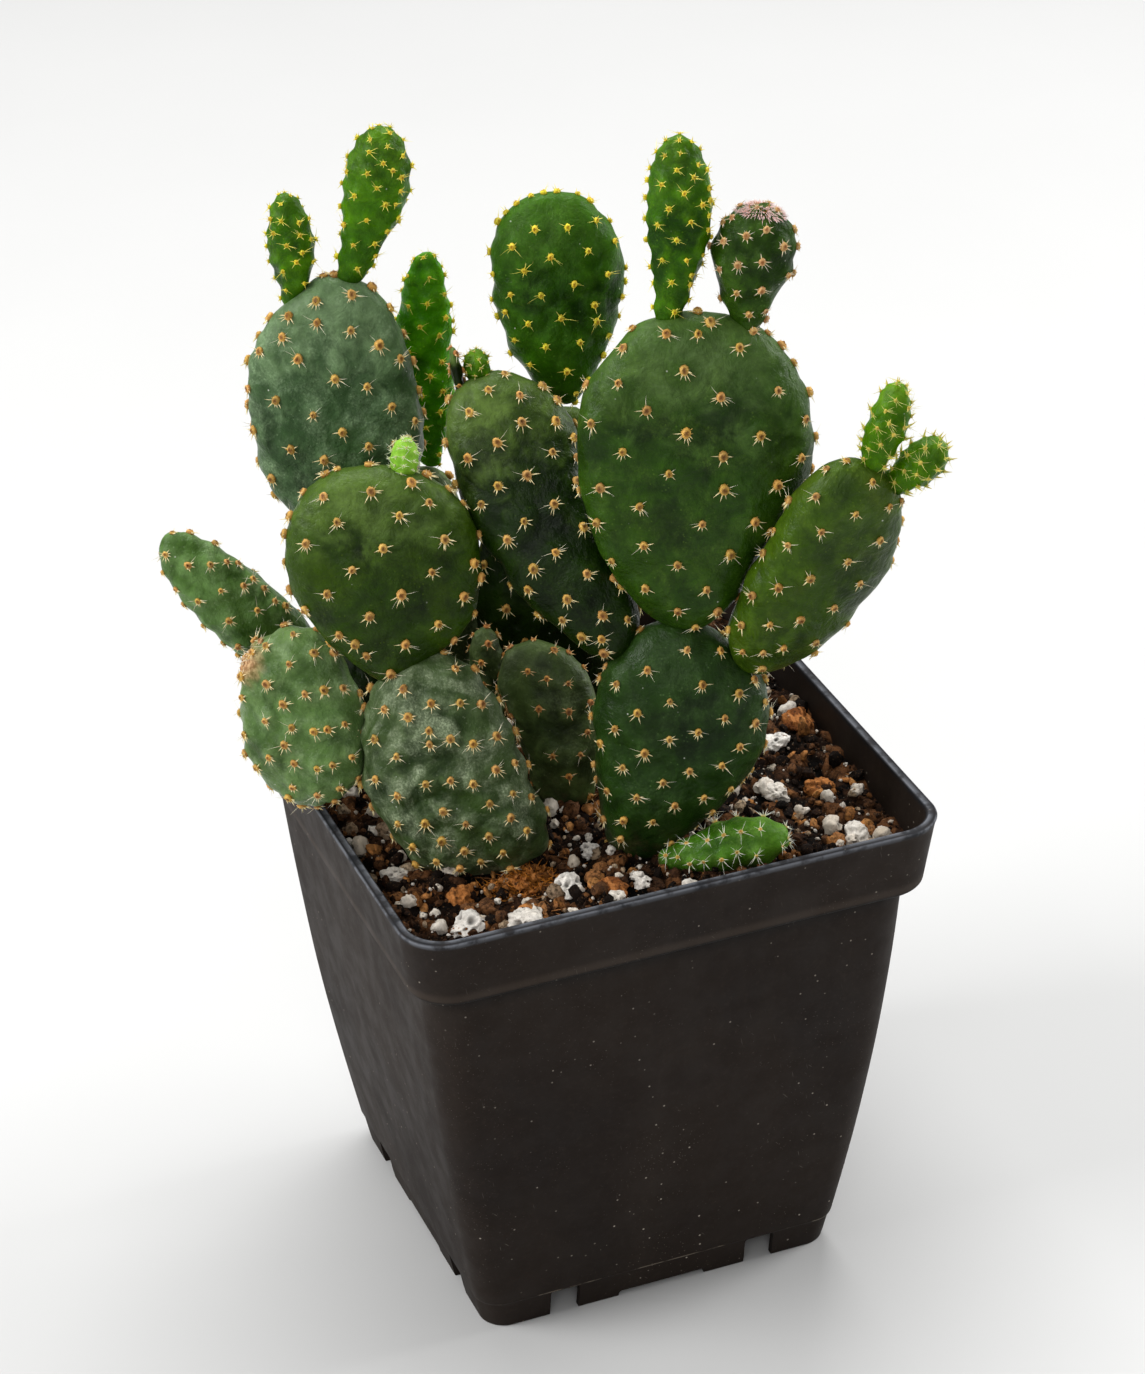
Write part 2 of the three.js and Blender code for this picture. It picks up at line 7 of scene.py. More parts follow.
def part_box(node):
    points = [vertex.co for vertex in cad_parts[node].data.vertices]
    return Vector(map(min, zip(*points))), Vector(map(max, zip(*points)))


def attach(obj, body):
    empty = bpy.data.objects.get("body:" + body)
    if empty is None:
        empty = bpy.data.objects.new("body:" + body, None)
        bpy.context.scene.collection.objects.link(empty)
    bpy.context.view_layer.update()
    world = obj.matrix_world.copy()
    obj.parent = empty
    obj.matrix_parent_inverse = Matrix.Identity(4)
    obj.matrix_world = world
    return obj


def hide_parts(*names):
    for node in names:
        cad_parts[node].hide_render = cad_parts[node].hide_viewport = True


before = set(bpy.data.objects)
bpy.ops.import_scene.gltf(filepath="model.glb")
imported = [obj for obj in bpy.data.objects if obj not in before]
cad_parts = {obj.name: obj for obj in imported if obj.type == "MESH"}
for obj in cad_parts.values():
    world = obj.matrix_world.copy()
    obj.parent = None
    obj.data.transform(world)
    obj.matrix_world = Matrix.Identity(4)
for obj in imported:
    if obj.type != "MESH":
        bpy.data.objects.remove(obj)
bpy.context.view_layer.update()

MM = 0.001
_lo, _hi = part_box("pot")
SHIFT = np.array([(_lo.x + _hi.x) / 2 / MM, (_lo.y + _hi.y) / 2 / MM, _lo.z / MM])

# pot, as half-widths of a square with rounded corners
POT_HEIGHT, RIM_HALF, COLLAR_HALF, COLLAR_HEIGHT = 101.5, 52.5, 50.7, 14.3
SHOULDER_HALF, FOOT_HALF, WALL_BULGE, WALL = 47.8, 36.2, 1.3, 1.4
RIM_RADIUS, FOOT_RADIUS, FLOOR_UNDER, FLOOR_TOP = 8.5, 5.0, 6.6, 8.2
NOTCH_WIDTH, NOTCH_HEIGHT, NOTCH_OFFSET, RELIEF, DRAIN_RADIUS = 6.0, 6.2, 20.3, 1.3, 3.6
SOIL_LEVEL = 94.4
# ------------------------------------------------- shapes, in millimetres
PADS = {    'pad_base_left': { 'centre': [-31.01, -13.92, 112.18], 'up': [-0.121, 0.2222, 0.9675], 'side': [0.8695, -0.4465, 0.2113], 'thick': 16,
    'radius': [18.27, -0.23, -0.13, -4.16, -1.16, -0.62, -0.75, 0.25, 0.05, -0.28, 0.45, 0.09, 0.32, 0.16, 0.03, 0.09, -0.15, -0.01, -0.08] },
    'pad_round_front': { 'centre': [-37.67, -3.1, 150.73], 'up': [0.0462, 0.1674, 0.9848], 'side': [0.9569, -0.2903, 0.0045], 'thick': 13,
    'radius': [18.53, 0.05, 0.08, -1.43, -0.8, 0.19, 0.83, 0.26, 0.07, -0.13, -0.4, -0.2, 0.04, -0.03, 0.18, 0.08, -0.02, 0.01, -0.05] },
    'pad_left_oval': { 'centre': [-52.9, 3.41, 119.89], 'up': [-0.5386, 0.5746, 0.6163], 'side': [0.5719, -0.2878, 0.7682], 'thick': 13,
    'radius': [14.28, 0.22, -0.16, -0.48, 2.78, -0.12, 0.23, -0.13, 0.09, -0.1, -0.01, -0.06, -0.0, -0.02, 0.04, -0.02, -0.03, -0.01, -0.01] },
    'pad_hidden_left': { 'centre': [-32.45, 17.52, 119.12], 'up': [-0.1084, 0.0885, 0.9902], 'side': [0.9005, -0.4132, 0.1355], 'thick': 11,
    'radius': [14.08, 0.29, 0.2, -7.18, -0.18, 0.27, 0.16, 2.83, 0.07, -0.37, -0.27, -1.26, 0.05, 0.29, 0.21, 0.54, -0.09, -0.23, -0.17] },
    'pad_left_tall': { 'centre': [-37.56, 20.44, 170.23], 'up': [0.0739, 0.0601, 0.9954], 'side': [0.8894, -0.4555, -0.0385], 'thick': 12.5,
    'radius': [20.04, -0.11, 0.1, -5.53, -1.01, -0.37, 0.15, 1.29, 0.24, 0.4, -0.2, -0.55, -0.14, -0.17, 0.11, 0.26, 0.09, 0.08, -0.05] },
    'pad_grey_back': { 'centre': [-18.84, 26.21, 123.77], 'up': [0.0182, 0.0325, 0.9993], 'side': [0.9877, -0.1556, -0.0129], 'thick': 10,
    'radius': [14.7, 0.36, 0.13, -8.1, -0.1, 0.38, 0.09, 3.69, 0.0, -0.37, -0.11, -1.92, 0.05, 0.26, 0.1, 1.08, -0.07, -0.17, -0.08] },
    'pad_base_right': { 'centre': [8.54, -25.41, 116.82], 'up': [0.273, 0.0403, 0.9612], 'side': [0.9176, -0.311, -0.2476], 'thick': 15,
    'radius': [18.64, 0.21, 0.35, -3.84, -0.16, 0.88, 1.33, 1.08, -0.04, -0.47, -0.45, -0.39, 0.07, 0.27, 0.13, 0.14, -0.1, -0.09, -0.04] },
    'pad_large': { 'centre': [14.33, -22.2, 170.01], 'up': [0.1037, 0.0395, 0.9938], 'side': [0.946, -0.3123, -0.0863], 'thick': 14.5,
    'radius': [24.33, -0.14, 0.22, -4.57, 0.23, 0.21, 1.56, 1.05, 0.11, 0.21, -0.63, -0.32, -0.15, -0.09, 0.26, 0.13, 0.08, 0.09, -0.17] },
    'pad_middle': { 'centre': [-8.61, -6.06, 157.5], 'up': [-0.2362, 0.4745, 0.848], 'side': [0.9618, -0.01, 0.2735], 'thick': 12.5,
    'radius': [17.19, -0.54, 0.69, -7.99, -0.1, -0.78, 1.04, 2.42, 0.43, 0.47, -0.73, -0.71, -0.77, -0.29, 0.37, 0.26, 0.52, 0.25, -0.05] },
    'pad_right': { 'centre': [32.52, -35.42, 150.86], 'up': [0.4949, -0.2707, 0.8257], 'side': [0.8557, -0.0135, -0.5173], 'thick': 12.5,
    'radius': [16.43, -0.06, 0.42, -6.03, -1.69, 0.58, 0.62, 1.06, 1.06, -0.19, -0.46, -0.26, -0.11, -0.07, 0.3, 0.06, -0.12, 0.0, -0.09] },
    'pad_hidden_middle': { 'centre': [2.69, 13.59, 130.36], 'up': [0.0415, 0.0056, 0.9991], 'side': [0.9558, -0.2915, -0.0381], 'thick': 11,
    'radius': [19.98, -3.0, -0.42, -8.12, 0.01, -0.81, -0.22, 4.06, -0.12, 0.73, 0.43, -2.09, 0.08, -0.54, -0.44, 1.2, -0.07, 0.34, 0.38] },
    'pad_upper_middle': { 'centre': [3.21, 12.83, 191.23], 'up': [-0.0117, 0.0578, 0.9983], 'side': [0.9617, -0.2729, 0.0271], 'thick': 11.5,
    'radius': [14.8, 0.02, -0.15, -3.94, 0.03, 0.27, 1.0, 0.94, 0.01, -0.04, -0.58, -0.39, 0.07, -0.03, 0.31, 0.27, -0.04, 0.02, -0.21] },
    'pad_small_grey': { 'centre': [-5.88, -2.38, 109.96], 'up': [-0.1684, 0.1762, 0.9698], 'side': [0.8843, -0.4077, 0.2276], 'thick': 9.5,
    'radius': [11.86, 0.34, 0.31, -4.85, 0.26, 0.65, 0.63, 1.08, -0.06, -0.45, -0.44, -0.2, 0.12, 0.15, 0.14, 0.04, -0.1, -0.03, -0.01] },
}
SHOOTS = {    'shoot_left_a': { 'base': [-42.88, 25.11, 190.24], 'tip': [-42.7, 27.18, 212.52], 'side': [0.959, -0.2827, 0.0189], 'half': 4.02, 'halfThick': 3.54, 'widest': 0.55, 'foot': 0.42, 'bend': 0.54 },
    'shoot_left_b': { 'base': [-34.18, 21.24, 195.89], 'tip': [-26.1, 19.23, 225.16], 'side': [0.8724, -0.4083, -0.2688], 'half': 5.68, 'halfThick': 4.09, 'widest': 0.66, 'foot': 0.4, 'bend': 1.24 },
    'shoot_narrow': { 'base': [-17.96, 27.1, 152.99], 'tip': [-17.38, 24.74, 197.37], 'side': [0.9408, -0.3375, -0.0305], 'half': 5.33, 'halfThick': 3.31, 'widest': 0.38, 'foot': 0.42, 'bend': -0.74 },
    'bud_round_front': { 'base': [-32.94, -1.64, 166.49], 'tip': [-31.75, -1.02, 174.75], 'side': [0.9245, -0.3659, -0.1064], 'half': 2.37, 'halfThick': 2.13, 'widest': 0.5, 'foot': 0.62, 'bend': 0.00 },
    'shoot_large_a': { 'base': [11.05, -19.27, 195.41], 'tip': [14.78, -17.48, 230.27], 'side': [0.9069, -0.4144, -0.0757], 'half': 5.54, 'halfThick': 4.10, 'widest': 0.62, 'foot': 0.4, 'bend': 1.04 },
    'shoot_large_b': { 'base': [24.04, -23.57, 194.09], 'tip': [27.54, -23.84, 217.68], 'side': [0.8795, -0.4561, -0.1357], 'half': 7.04, 'halfThick': 5.07, 'widest': 0.6, 'foot': 0.34, 'bend': -0.35 },
    'bud_middle': { 'base': [-15.11, 5.81, 178.53], 'tip': [-14.94, 7.89, 184.74], 'side': [0.9509, -0.3005, 0.0748], 'half': 2.33, 'halfThick': 2.22, 'widest': 0.5, 'foot': 0.6, 'bend': 0.00 },
    'shoot_middle_b': { 'base': [-17.68, 8.06, 174.84], 'tip': [-19.22, 7.58, 185.94], 'side': [0.9546, -0.2728, 0.1198], 'half': 0.99, 'halfThick': 2.17, 'widest': 0.5, 'foot': 0.5, 'bend': 0.00 },
    'shoot_right_a': { 'base': [39.94, -41.35, 171.25], 'tip': [45.69, -41.41, 187.54], 'side': [0.7925, -0.5408, -0.2818], 'half': 3.41, 'halfThick': 2.90, 'widest': 0.5, 'foot': 0.62, 'bend': 0.35 },
    'shoot_right_b': { 'base': [43.9, -41.09, 167.5], 'tip': [52.53, -45.46, 176.38], 'side': [0.4072, -0.5981, -0.6902], 'half': 3.60, 'halfThick': 3.06, 'widest': 0.58, 'foot': 0.62, 'bend': 0.35 },
    'pad_left_sausage': { 'base': [-39.21, 20.44, 113.21], 'tip': [-69.63, 28.85, 148.22], 'side': [0.7639, 0.1445, 0.629], 'half': 6.70, 'halfThick': 5.23, 'widest': 0.5, 'foot': 0.5, 'bend': -0.56 },
    'stub_small': { 'base': [-13.98, 9.63, 93.43], 'tip': [-14.99, 8.94, 126.69], 'side': [0.9461, -0.3232, 0.0219], 'half': 3.21, 'halfThick': 2.57, 'widest': 0.72, 'foot': 0.5, 'bend': 0.00 },
    'offset_front': { 'base': [1.89, -32.96, 95.2], 'tip': [24.82, -40.53, 99.5], 'side': [-0.03, -0.561, -0.8273], 'half': 4.95, 'halfThick': 4.46, 'widest': 0.58, 'foot': 0.45, 'bend': 0.00 },
}
PERLITE = [
  [-36.5, -37.5, 6.6, 0.62, 0.4], [-27.4, -42.4, 6.6, 0.60, 1.9], [-16.0, -34.0, 5.2, 0.70, 0.9],
  [-43.2, -16.2, 4.4, 0.70, 2.6], [-7.6, -23.2, 3.8, 0.72, 0.2], [41.2, -35.0, 5.6, 0.70, 1.2],
  [38.6, -4.2, 5.4, 0.60, 0.5], [32.2, -19.2, 4.8, 0.70, 2.2], [-3.2, -37.6, 4.2, 0.66, 1.6],
]
BARK = [
  [-35.0, -28.4, 5.4, 0.55, 0.7], [-9.6, -38.8, 5.4, 0.60, 2.4], [45.6, 1.2, 6.2, 0.55, 1.1],
  [41.0, -19.0, 5.0, 0.60, 0.2],
]
# Areoles on the side of each segment that faces the front: for a pad the mean
# spacing and x,y in its own plane; for a shoot the share of its length and of
# its half width.
FRONT = {
    'pad_base_left': (4.16, '4.2,22.4 6.2,20.4 8.4,18.3 -2.8,19.3 -9.7,18 1.7,16.3 6.4,15.2 9.3,13.6 11.2,11.9 -7.1,16.2 -2.8,14.6 0.4,11.7 12.7,5.7 10.9,7.4 3.8,9.6 -9.9,11 0,9.3 7.2,7.7 -6.6,7.7 12.5,1.3 13.6,-1.1 9.8,1.8 -11.7,3.4 2.1,1.9 -2.5,1.9 5.8,0.4 11.6,-3.8 -8.3,0.2 13.8,-6.1 7.7,-4.1 -14.6,-4.1 -0.6,-3.8 10.5,-7.7 -4.4,-5.7 2.9,-6.9 -9.7,-5.6 12.4,-10.9 6.3,-10.1 -12.6,-10.5 -2.3,-9.6 -8,-10.4 1.2,-12.2 7.8,-14.1 -4.4,-13.8 3.3,-15.4 8,-18 -0.8,-16.1 -3.2,-21.3 -0.6,-21.6 -8.7,-14.7 -6,-18.2'),
    'pad_base_right': (4.98, '-10.2,18.8 -2.2,18.7 3.9,19 -14.6,10.7 -8.4,13.8 -15.1,8.2 11.2,14.3 13.3,13.1 -12.9,9.7 1.7,13.2 8.6,12.3 -3.4,9.2 14,10.5 -8.5,5.8 15.9,7.3 7.1,7.7 12.9,7.1 -11.6,1.6 2.9,4.4 -1.9,2 -13.1,-2.6 16.4,1.2 11.2,2.4 -5.6,-1.6 -12.4,-8.3 8.7,-1.5 -8.7,-5.5 15.2,-4.2 3.1,-3.4 -1.1,-6.6 14.1,-6.5 11.6,-6.5 -9.9,-11.3 -5,-10.4 7,-8.5 2,-10.7 9.5,-11.9 -6,-15.6 -8.9,-17.7 -1.1,-14.6 8.1,-16.9 -5.6,-19.8 3.4,-19.2 -6.7,-23 -1.4,-24.1'),
    'pad_left_tall': (5.1, '-2.2,26.7 -0.3,26.8 5.9,24.8 3.1,24.9 -3,23.7 8.9,21.2 -11.8,18.4 -2.7,20.1 3.3,19 -9.1,16.7 8.1,16.3 -13.3,13.3 -6,13.3 11.6,13.2 0.7,10.1 6.3,8.7 -15.3,5.8 -10.1,5.1 -15.6,1.7 10.5,4.9 -3.3,3 14.1,1.5 -14.4,-1.9 2,-0 13.2,-1.6 11.1,-2.2 6.7,-2.6 -7.4,-4.1 -14,-9.1 -11.2,-10.8 -11,-15.4 6.9,-23.5 0.5,-12.5 12.2,-13.3 -4.1,-22.5 2.4,-18.7 5.9,-9 1.2,-26.4 -4.9,-16.2 9.4,-18.4 14.2,-7.6 -1.3,-5.6 7.4,-14.5 -7.8,20.5'),
    'pad_round_front': (5.24, '-1.6,19.1 -7.2,18.8 -9.3,18 8.1,16.4 5.4,16.5 -1.7,15.9 -13.2,15 11.9,13.7 -10,15.3 8.3,13.1 14.3,11 3,11.6 -15.7,10.8 -7.9,11.1 -16.7,7.6 16.7,5.1 10.8,6.5 -13.6,7.2 -0.2,6 15.7,1.1 -17.2,2.5 -5.9,2.4 8.2,0.8 16.7,-2.1 -16.4,-2.6 -10.5,-2 2.5,-2.9 13.6,-4.7 -14.4,-5.5 15.3,-8.8 -3.3,-6.5 8.8,-9.2 -8.8,-10.1 11.4,-13.4 -6.1,-12 2.7,-12.5 -4.3,-14.5 6.5,-17.6 -0.2,-18.5'),
    'pad_left_oval': (3.22, '11,13.3 14.7,8.6 12.5,11 7.7,13.1 4.8,13.9 13.3,6.1 14.6,3.8 9.2,7.9 0.1,12.5 3.5,8.5 11.6,-1.7 10,0.4 7.4,2.3 -2.5,10 11.1,-4.5 9.3,-7 -7.6,8.4 -1.8,4.2 7.3,-6.4 0.9,-0.1 5,-4.9 3.2,-3.4 -7.9,5.2 -6.9,-0.7 3.2,-11.2 2.8,-13.6 -4.3,-4.7 0.4,-9.8 -11.2,-0.3 -2,-8.3 -0.2,-14.7 -14.4,-4.2 -8.8,-7.4 -3.1,-13.7 -6.8,-11.5 -11.6,-8.1 -6.7,-14.5 -13,-10.3 -11.2,-12.5 3,3.9 -11.3,2.8 -2.7,-1.2'),
    'pad_grey_back': (7.0, '3.5,26.4 8.7,2.4 8.1,-5.1 7.3,-7.1 -2.4,-26.8 -7.1,11.3 -7.3,-4.2 5.3,14 -2,-15.3 -5.5,21.4 -1.4,3.3 4.9,-19.5 -0.1,-5.6 1.1,19.7 0.2,10.2 4.2,-13 -8.3,5.1 -5.4,-20.8 -4.9,-10.1 6.3,7.7'),
    'pad_middle': (4.2, '3.9,24.8 8.9,19.9 -0.1,23.7 4.4,20.4 -6.2,24.7 10.3,16.7 -4.8,21.5 8.4,13.6 2.6,16.1 10.1,9.6 -9.9,18 -2.9,14.7 5.4,9 9.1,6.3 -8.4,14.3 -0.5,7.2 7.3,2.4 -11.3,10.6 -6,7.7 -9.8,5.9 1.7,0.5 -4.5,0 4.7,-5.5 -8.3,-1.7 -1.7,-7.4 -6.3,-8.4 1.8,-13.4 -10.2,-9.8 6.7,-18.2 -8.4,-11.4 -3.1,-15.9 8.5,-23.2 -7.8,-16.4 1.4,-21.4 -5.1,-19.1 5.2,-24.1 -3.2,-23.3 -0.3,-25.2 -0.7,-27.7 7.9,-10.7 7.9,-1.8 8.1,-6.6'),
    'pad_upper_middle': (4.37, '1,17.9 -1.3,17.9 -3.5,17.5 4.4,17 -6,16.4 6.4,15.7 -7.8,14.9 7.1,13.4 9.4,11.6 -9.1,13.3 2.1,13.3 -3.6,13.4 10,9.1 -7.6,10.5 5.4,8.8 -11.1,8.1 -1.3,8.5 11.7,2.8 -6,6.2 -11,4.9 8.6,3.9 11.8,0.2 2.6,3 -8.5,1.7 -3.4,1.5 11.1,-1.6 -11.3,-0.9 6,-1.5 -9.6,-1.8 -10.5,-4.1 -0.1,-3.3 10.2,-6.3 6.2,-4.8 -5.9,-3.9 8.2,-8.3 -8.4,-7.5 2.9,-8.4 -3.1,-8.6 -8.7,-11.4 6.8,-12.2 -5.9,-12.5 0.3,-13.8 3.9,-16.3 1.7,-18.9 1.6,-22 -3.5,-17.8'),
    'pad_large': (6.53, '-0.8,27.8 1.1,27.2 -11.7,24.4 11.4,24.4 -6.4,25.3 -1,25.6 13.9,22.1 -13.6,22.1 6.3,23.6 16.3,19.1 -3.2,19.7 -14.3,16.5 -19.1,13.9 13.5,16.1 19.2,13.6 3.4,15.3 -9.3,12.3 18.9,10.2 -18.4,8.6 -2.2,8.6 10.9,8.3 20.8,5.4 -13,4.3 4.6,4.4 18.5,3.3 20.6,-0.6 -4.7,0.8 14.6,-1.2 -16.3,-3.2 19.6,-4.2 5.2,-1.9 -19.2,-5.9 16.9,-5.8 -9.4,-5.9 17.5,-9.1 11.2,-8.4 -16.2,-10.2 1.8,-8.7 14.2,-11 -8.1,-13.4 7.3,-14.8 -13.2,-17.6 11.8,-17.7 -1.9,-17 -7.1,-22.4 3.6,-21.9 9.8,-25.5 -1.1,-26.6 5.9,-26.8 2.4,-30.4'),
    'pad_right': (5.35, '-9.1,22.2 -11.4,19.5 -4.7,22.3 -11.9,15.6 3.6,20.1 0.9,19.5 -4.8,16.5 7.6,15.4 -8.3,10.8 2.6,13.5 9.6,10.9 -10.6,5 -10.8,-0.7 -0.4,7.6 11.4,6.8 -4.4,1.6 11.6,2.6 11.5,0.6 -7.6,-3.2 -9.3,-7.8 3.5,-2.2 -0.5,-7.1 -4.4,-10.7 -7,-14.6 -6.3,-18.1 6,-11 1,-14.2 -3.9,-19.3 -1.4,-17 7.6,-20.4 1.2,-20.7 10.3,-6.3 9.2,-14.7 4.9,4.1'),
    'pad_small_grey': (4.53, '0.4,16.9 -3.8,16.5 3.8,15.1 5.9,13.3 -1.3,13.2 7.8,9.9 1.8,11.2 5.3,9.2 -8,9.3 8,4.3 -1,5.9 4.2,4 6.3,-1.1 4,-5 -0.9,-4 0.9,-8.9 -3,-16.5 -6.2,0.9 -6.5,-10.1 3.1,-14.6 -6.6,4.8'),
    'pad_hidden_left': (7.0, '-7.5,-0.3 1.3,-24.3 0.9,22.6 8.4,-7.7 6.6,8 -5.2,-13 -6.9,12.6 2.4,-1.2 4.9,-16.4 -2.5,5.7 0.8,14.4 1.4,-9 -5,-19.8 -4.6,18.8 -6.7,-7.1 8.1,2.2'),
    'pad_hidden_middle': (7.0, '-17,0.2 3.2,32.5 3.5,-31.4 9.7,-4.3 -1.5,12.7 -8.9,-16.6 6.8,-18.1 -4.1,-3.8 10.3,8.4 -6.1,24.2 6.8,21.3 -13.3,12.4 -5,-25.8 2,3.8 -14,-9.4 -0.5,-12 -8,5.3 1.5,-23.9 7,-10.9 6.2,14 -6.9,17 0.1,19.7 3.1,-2.8 -7.3,-9.5 -10.8,-2.5 1.8,25.9 -3.2,30.5 -3.5,-19.3 9.4,1.7 -14.8,5.7 7.6,-24.3'),
    'shoot_left_a': (0, '0.985,0.79 0.899,-1 0.827,-0.86 0.797,0.95 0.823,-0.34 0.795,0.47 0.722,-0.7 0.686,-1 0.701,0.4 0.645,0.81 0.63,-0.2 0.582,-1 0.56,0.39 0.458,-1 0.491,0.13 0.457,0.83 0.414,-0.47 0.314,-1 0.291,0.52 0.239,-0.52 0.139,-1'),
    'shoot_left_b': (0, '0.982,-0.91 0.985,0.59 0.9,-1 0.938,-0.57 0.927,0.26 0.876,-0.42 0.78,-1 0.886,0.81 0.838,0.13 0.807,0.45 0.709,-0.91 0.758,-0.31 0.77,0.72 0.613,-1 0.692,0.04 0.691,0.73 0.602,-0.56 0.604,0.38 0.609,0.66 0.471,-1 0.478,-0.06 0.392,-0.82 0.423,0.74 0.335,0.5 0.292,-0.34 0.247,0.81 0.159,-1 0.164,1 0.148,0.23'),
    'shoot_narrow': (0, '0.985,-0.34 0.985,0.95 0.967,-1 0.934,1 0.897,1 0.903,-0.92 0.909,0.22 0.876,-1 0.799,0.11 0.759,1 0.725,0.79 0.697,-1 0.685,1 0.639,1 0.66,-0.75 0.581,-0.5 0.531,0.59 0.473,0.2 0.454,-0.36 0.232,0.86 0.076,0.71 0.02,0.94'),
    'bud_round_front': (0, '0.477,0.97'),
    'shoot_large_a': (0, '0.985,0.03 0.976,0.91 0.938,1 0.913,-1 0.916,-0.63 0.882,0.71 0.83,-1 0.86,-0.1 0.849,0.94 0.828,0.47 0.768,-1 0.782,-0.56 0.764,0.89 0.751,0.14 0.679,-1 0.704,0.89 0.692,0.67 0.669,-0.3 0.629,0.86 0.571,-1 0.609,0.34 0.577,-0.63 0.556,0.86 0.464,-1 0.513,-0.04 0.421,0.88 0.395,-0.51 0.405,0.35 0.323,-1 0.319,0.66 0.281,-0.1 0.267,0.74 0.172,0.95 0.112,-1 0.116,0.3'),
    'shoot_large_b': (0, '0.985,-0.37 0.959,-0.04 0.892,-0.87 0.838,-0.95 0.874,0.25 0.843,1 0.816,-0.27 0.737,-0.75 0.763,0.7 0.721,1 0.652,0.23 0.602,-0.31 0.529,-0.73 0.517,1 0.535,0.88 0.43,0.35 0.377,-0.31 0.25,-1 0.231,0.79 0.206,0.16 0.133,1 0.058,0.55'),
    'bud_middle': (0, '0.924,-0.82 0.373,1'),
    'shoot_middle_b': (0, '0.945,0.59 0.435,0.01'),
    'shoot_right_a': (0, '0.985,-0.42 0.982,1 0.857,-1 0.653,-1 0.805,0.85 0.727,-0.3 0.63,-0.82 0.623,0.06 0.443,-1 0.61,0.81 0.533,-0.4 0.523,0.43 0.319,-1 0.385,0.02 0.229,-1 0.276,1 0.271,0.75 0.158,-0.65'),
    'shoot_right_b': (0, '0.985,-0.72 0.638,-1 0.985,0.97 0.902,0.8 0.746,0.75 0.508,0.28 0.571,0.76 0.391,0.81 0.216,0.84'),
    'pad_left_sausage': (0, '0.928,1 0.985,0.93 0.982,0.32 0.926,0.73 0.83,0.98 0.962,-0.6 0.765,0.72 0.881,-0.12 0.817,0.37 0.719,0.86 0.908,-1 0.637,0.77 0.659,0.48 0.838,-0.93 0.578,0.76 0.722,-0.02 0.755,-0.66 0.512,0.68 0.759,-1 0.462,0.76 0.555,0.21 0.614,-0.47 0.64,-1 0.501,-0.81 0.529,-1 0.451,-1'),
    'stub_small': (0, ''),
    'offset_front': (0, '0.845,-1 0.653,-1 0.487,-1 0.985,-1 0.805,-0.44 0.662,-0.43 0.534,-0.44 0.985,0.36 0.409,-0.43 0.25,-0.64 0.604,0.23 0.738,0.51 0.078,-0.31 0.165,-0.04 0.484,0.39 0.35,0.39 0.244,0.43 0.801,1 0.733,1 0.02,1 0.632,1 0.484,1'),
}

# kind of skin, kind of areole, mound under each areole (height, spread) in mm
KINDS = {
    'pad_base_left': ('bloom', 'tan', 1.05, 1.75), 'pad_round_front': ('olive', 'tan', 0.46, 2.2),
    'pad_left_oval': ('oval', 'tan', 0.95, 1.6), 'pad_left_sausage': ('sausage', 'tan', 0.6, 1.7),
    'pad_hidden_left': ('dark', 'tan', 0.4, 2.0), 'pad_left_tall': ('blue', 'tan', 0.60, 2.2),
    'pad_grey_back': ('grey', 'tan', 0.4, 2.0), 'stub_small': ('grey', 'brown', 0.5, 1.2),
    'pad_base_right': ('base', 'tan', 0.42, 1.9), 'pad_large': ('large', 'tan', 0.46, 2.4),
    'pad_middle': ('dark', 'tan', 0.50, 2.0), 'pad_right': ('right', 'tan', 0.50, 2.0),
    'pad_hidden_middle': ('dark', 'tan', 0.4, 2.0), 'pad_upper_middle': ('upper', 'yellow', 0.72, 1.8),
    'pad_small_grey': ('grey', 'brown', 0.5, 1.5),
    'shoot_left_a': ('young', 'yellow', 0.52, 0.85), 'shoot_left_b': ('young', 'yellow', 0.58, 1.0),
    'shoot_narrow': ('bright', 'yellow', 0.55, 1.0), 'shoot_large_a': ('young', 'yellow', 0.55, 1.0),
    'shoot_large_b': ('youngdark', 'pink', 0.62, 1.3), 'bud_round_front': ('lime', 'speck', 0.25, 0.6),
    'bud_middle': ('limedark', 'bud', 0.25, 0.55), 'shoot_middle_b': ('dark', 'brown', 0.3, 0.8),
    'shoot_right_a': ('limedark', 'leafy', 0.4, 0.75), 'shoot_right_b': ('limedark', 'leafy', 0.4, 0.75),
    'offset_front': ('offset', 'white', 0.42, 1.0),
}


# ------------------------------------------------------------------ small helpers
def unit(v):
    v = np.asarray(v, float)
    return v / np.maximum(np.linalg.norm(v, axis=-1, keepdims=True), 1e-12)


def smooth01(x):
    t = np.clip(x, 0, 1)
    return t * t * (3 - 2 * t)


def lattice_value(ix, iy, iz, seed):
    n = (ix * 73856093) ^ (iy * 19349663) ^ (iz * 83492791) ^ (seed * 961748927)
    n = n & 0x7fffffff
    n = ((n ^ (n >> 13)) * 1274126177) & 0x7fffffff
    n = ((n ^ (n >> 15)) * 668265263) & 0x7fffffff
    return ((n ^ (n >> 11)) & 0xffff) / 32767.5 - 1.0


def value_noise(p, seed=0):
    i = np.floor(p).astype(np.int64)
    f = p - i
    f = f * f * f * (f * (f * 6 - 15) + 10)
    x, y, z = i[..., 0], i[..., 1], i[..., 2]
    fx, fy, fz = f[..., 0], f[..., 1], f[..., 2]
    out = 0
    for dx in (0, 1):
        wx = fx if dx else 1 - fx
        for dy in (0, 1):
            wy = fy if dy else 1 - fy
            for dz in (0, 1):
                wz = fz if dz else 1 - fz
                out = out + wx * wy * wz * lattice_value(x + dx, y + dy, z + dz, seed)
    return out


def fbm(p, octaves=3, seed=0, gain=0.5):
    total, amp, norm = 0, 1.0, 0.0
    for k in range(octaves):
        total = total + amp * value_noise(p * 2.03 ** k + 17.3 * k, seed + k)
        norm += amp
        amp *= gain
    return total / norm


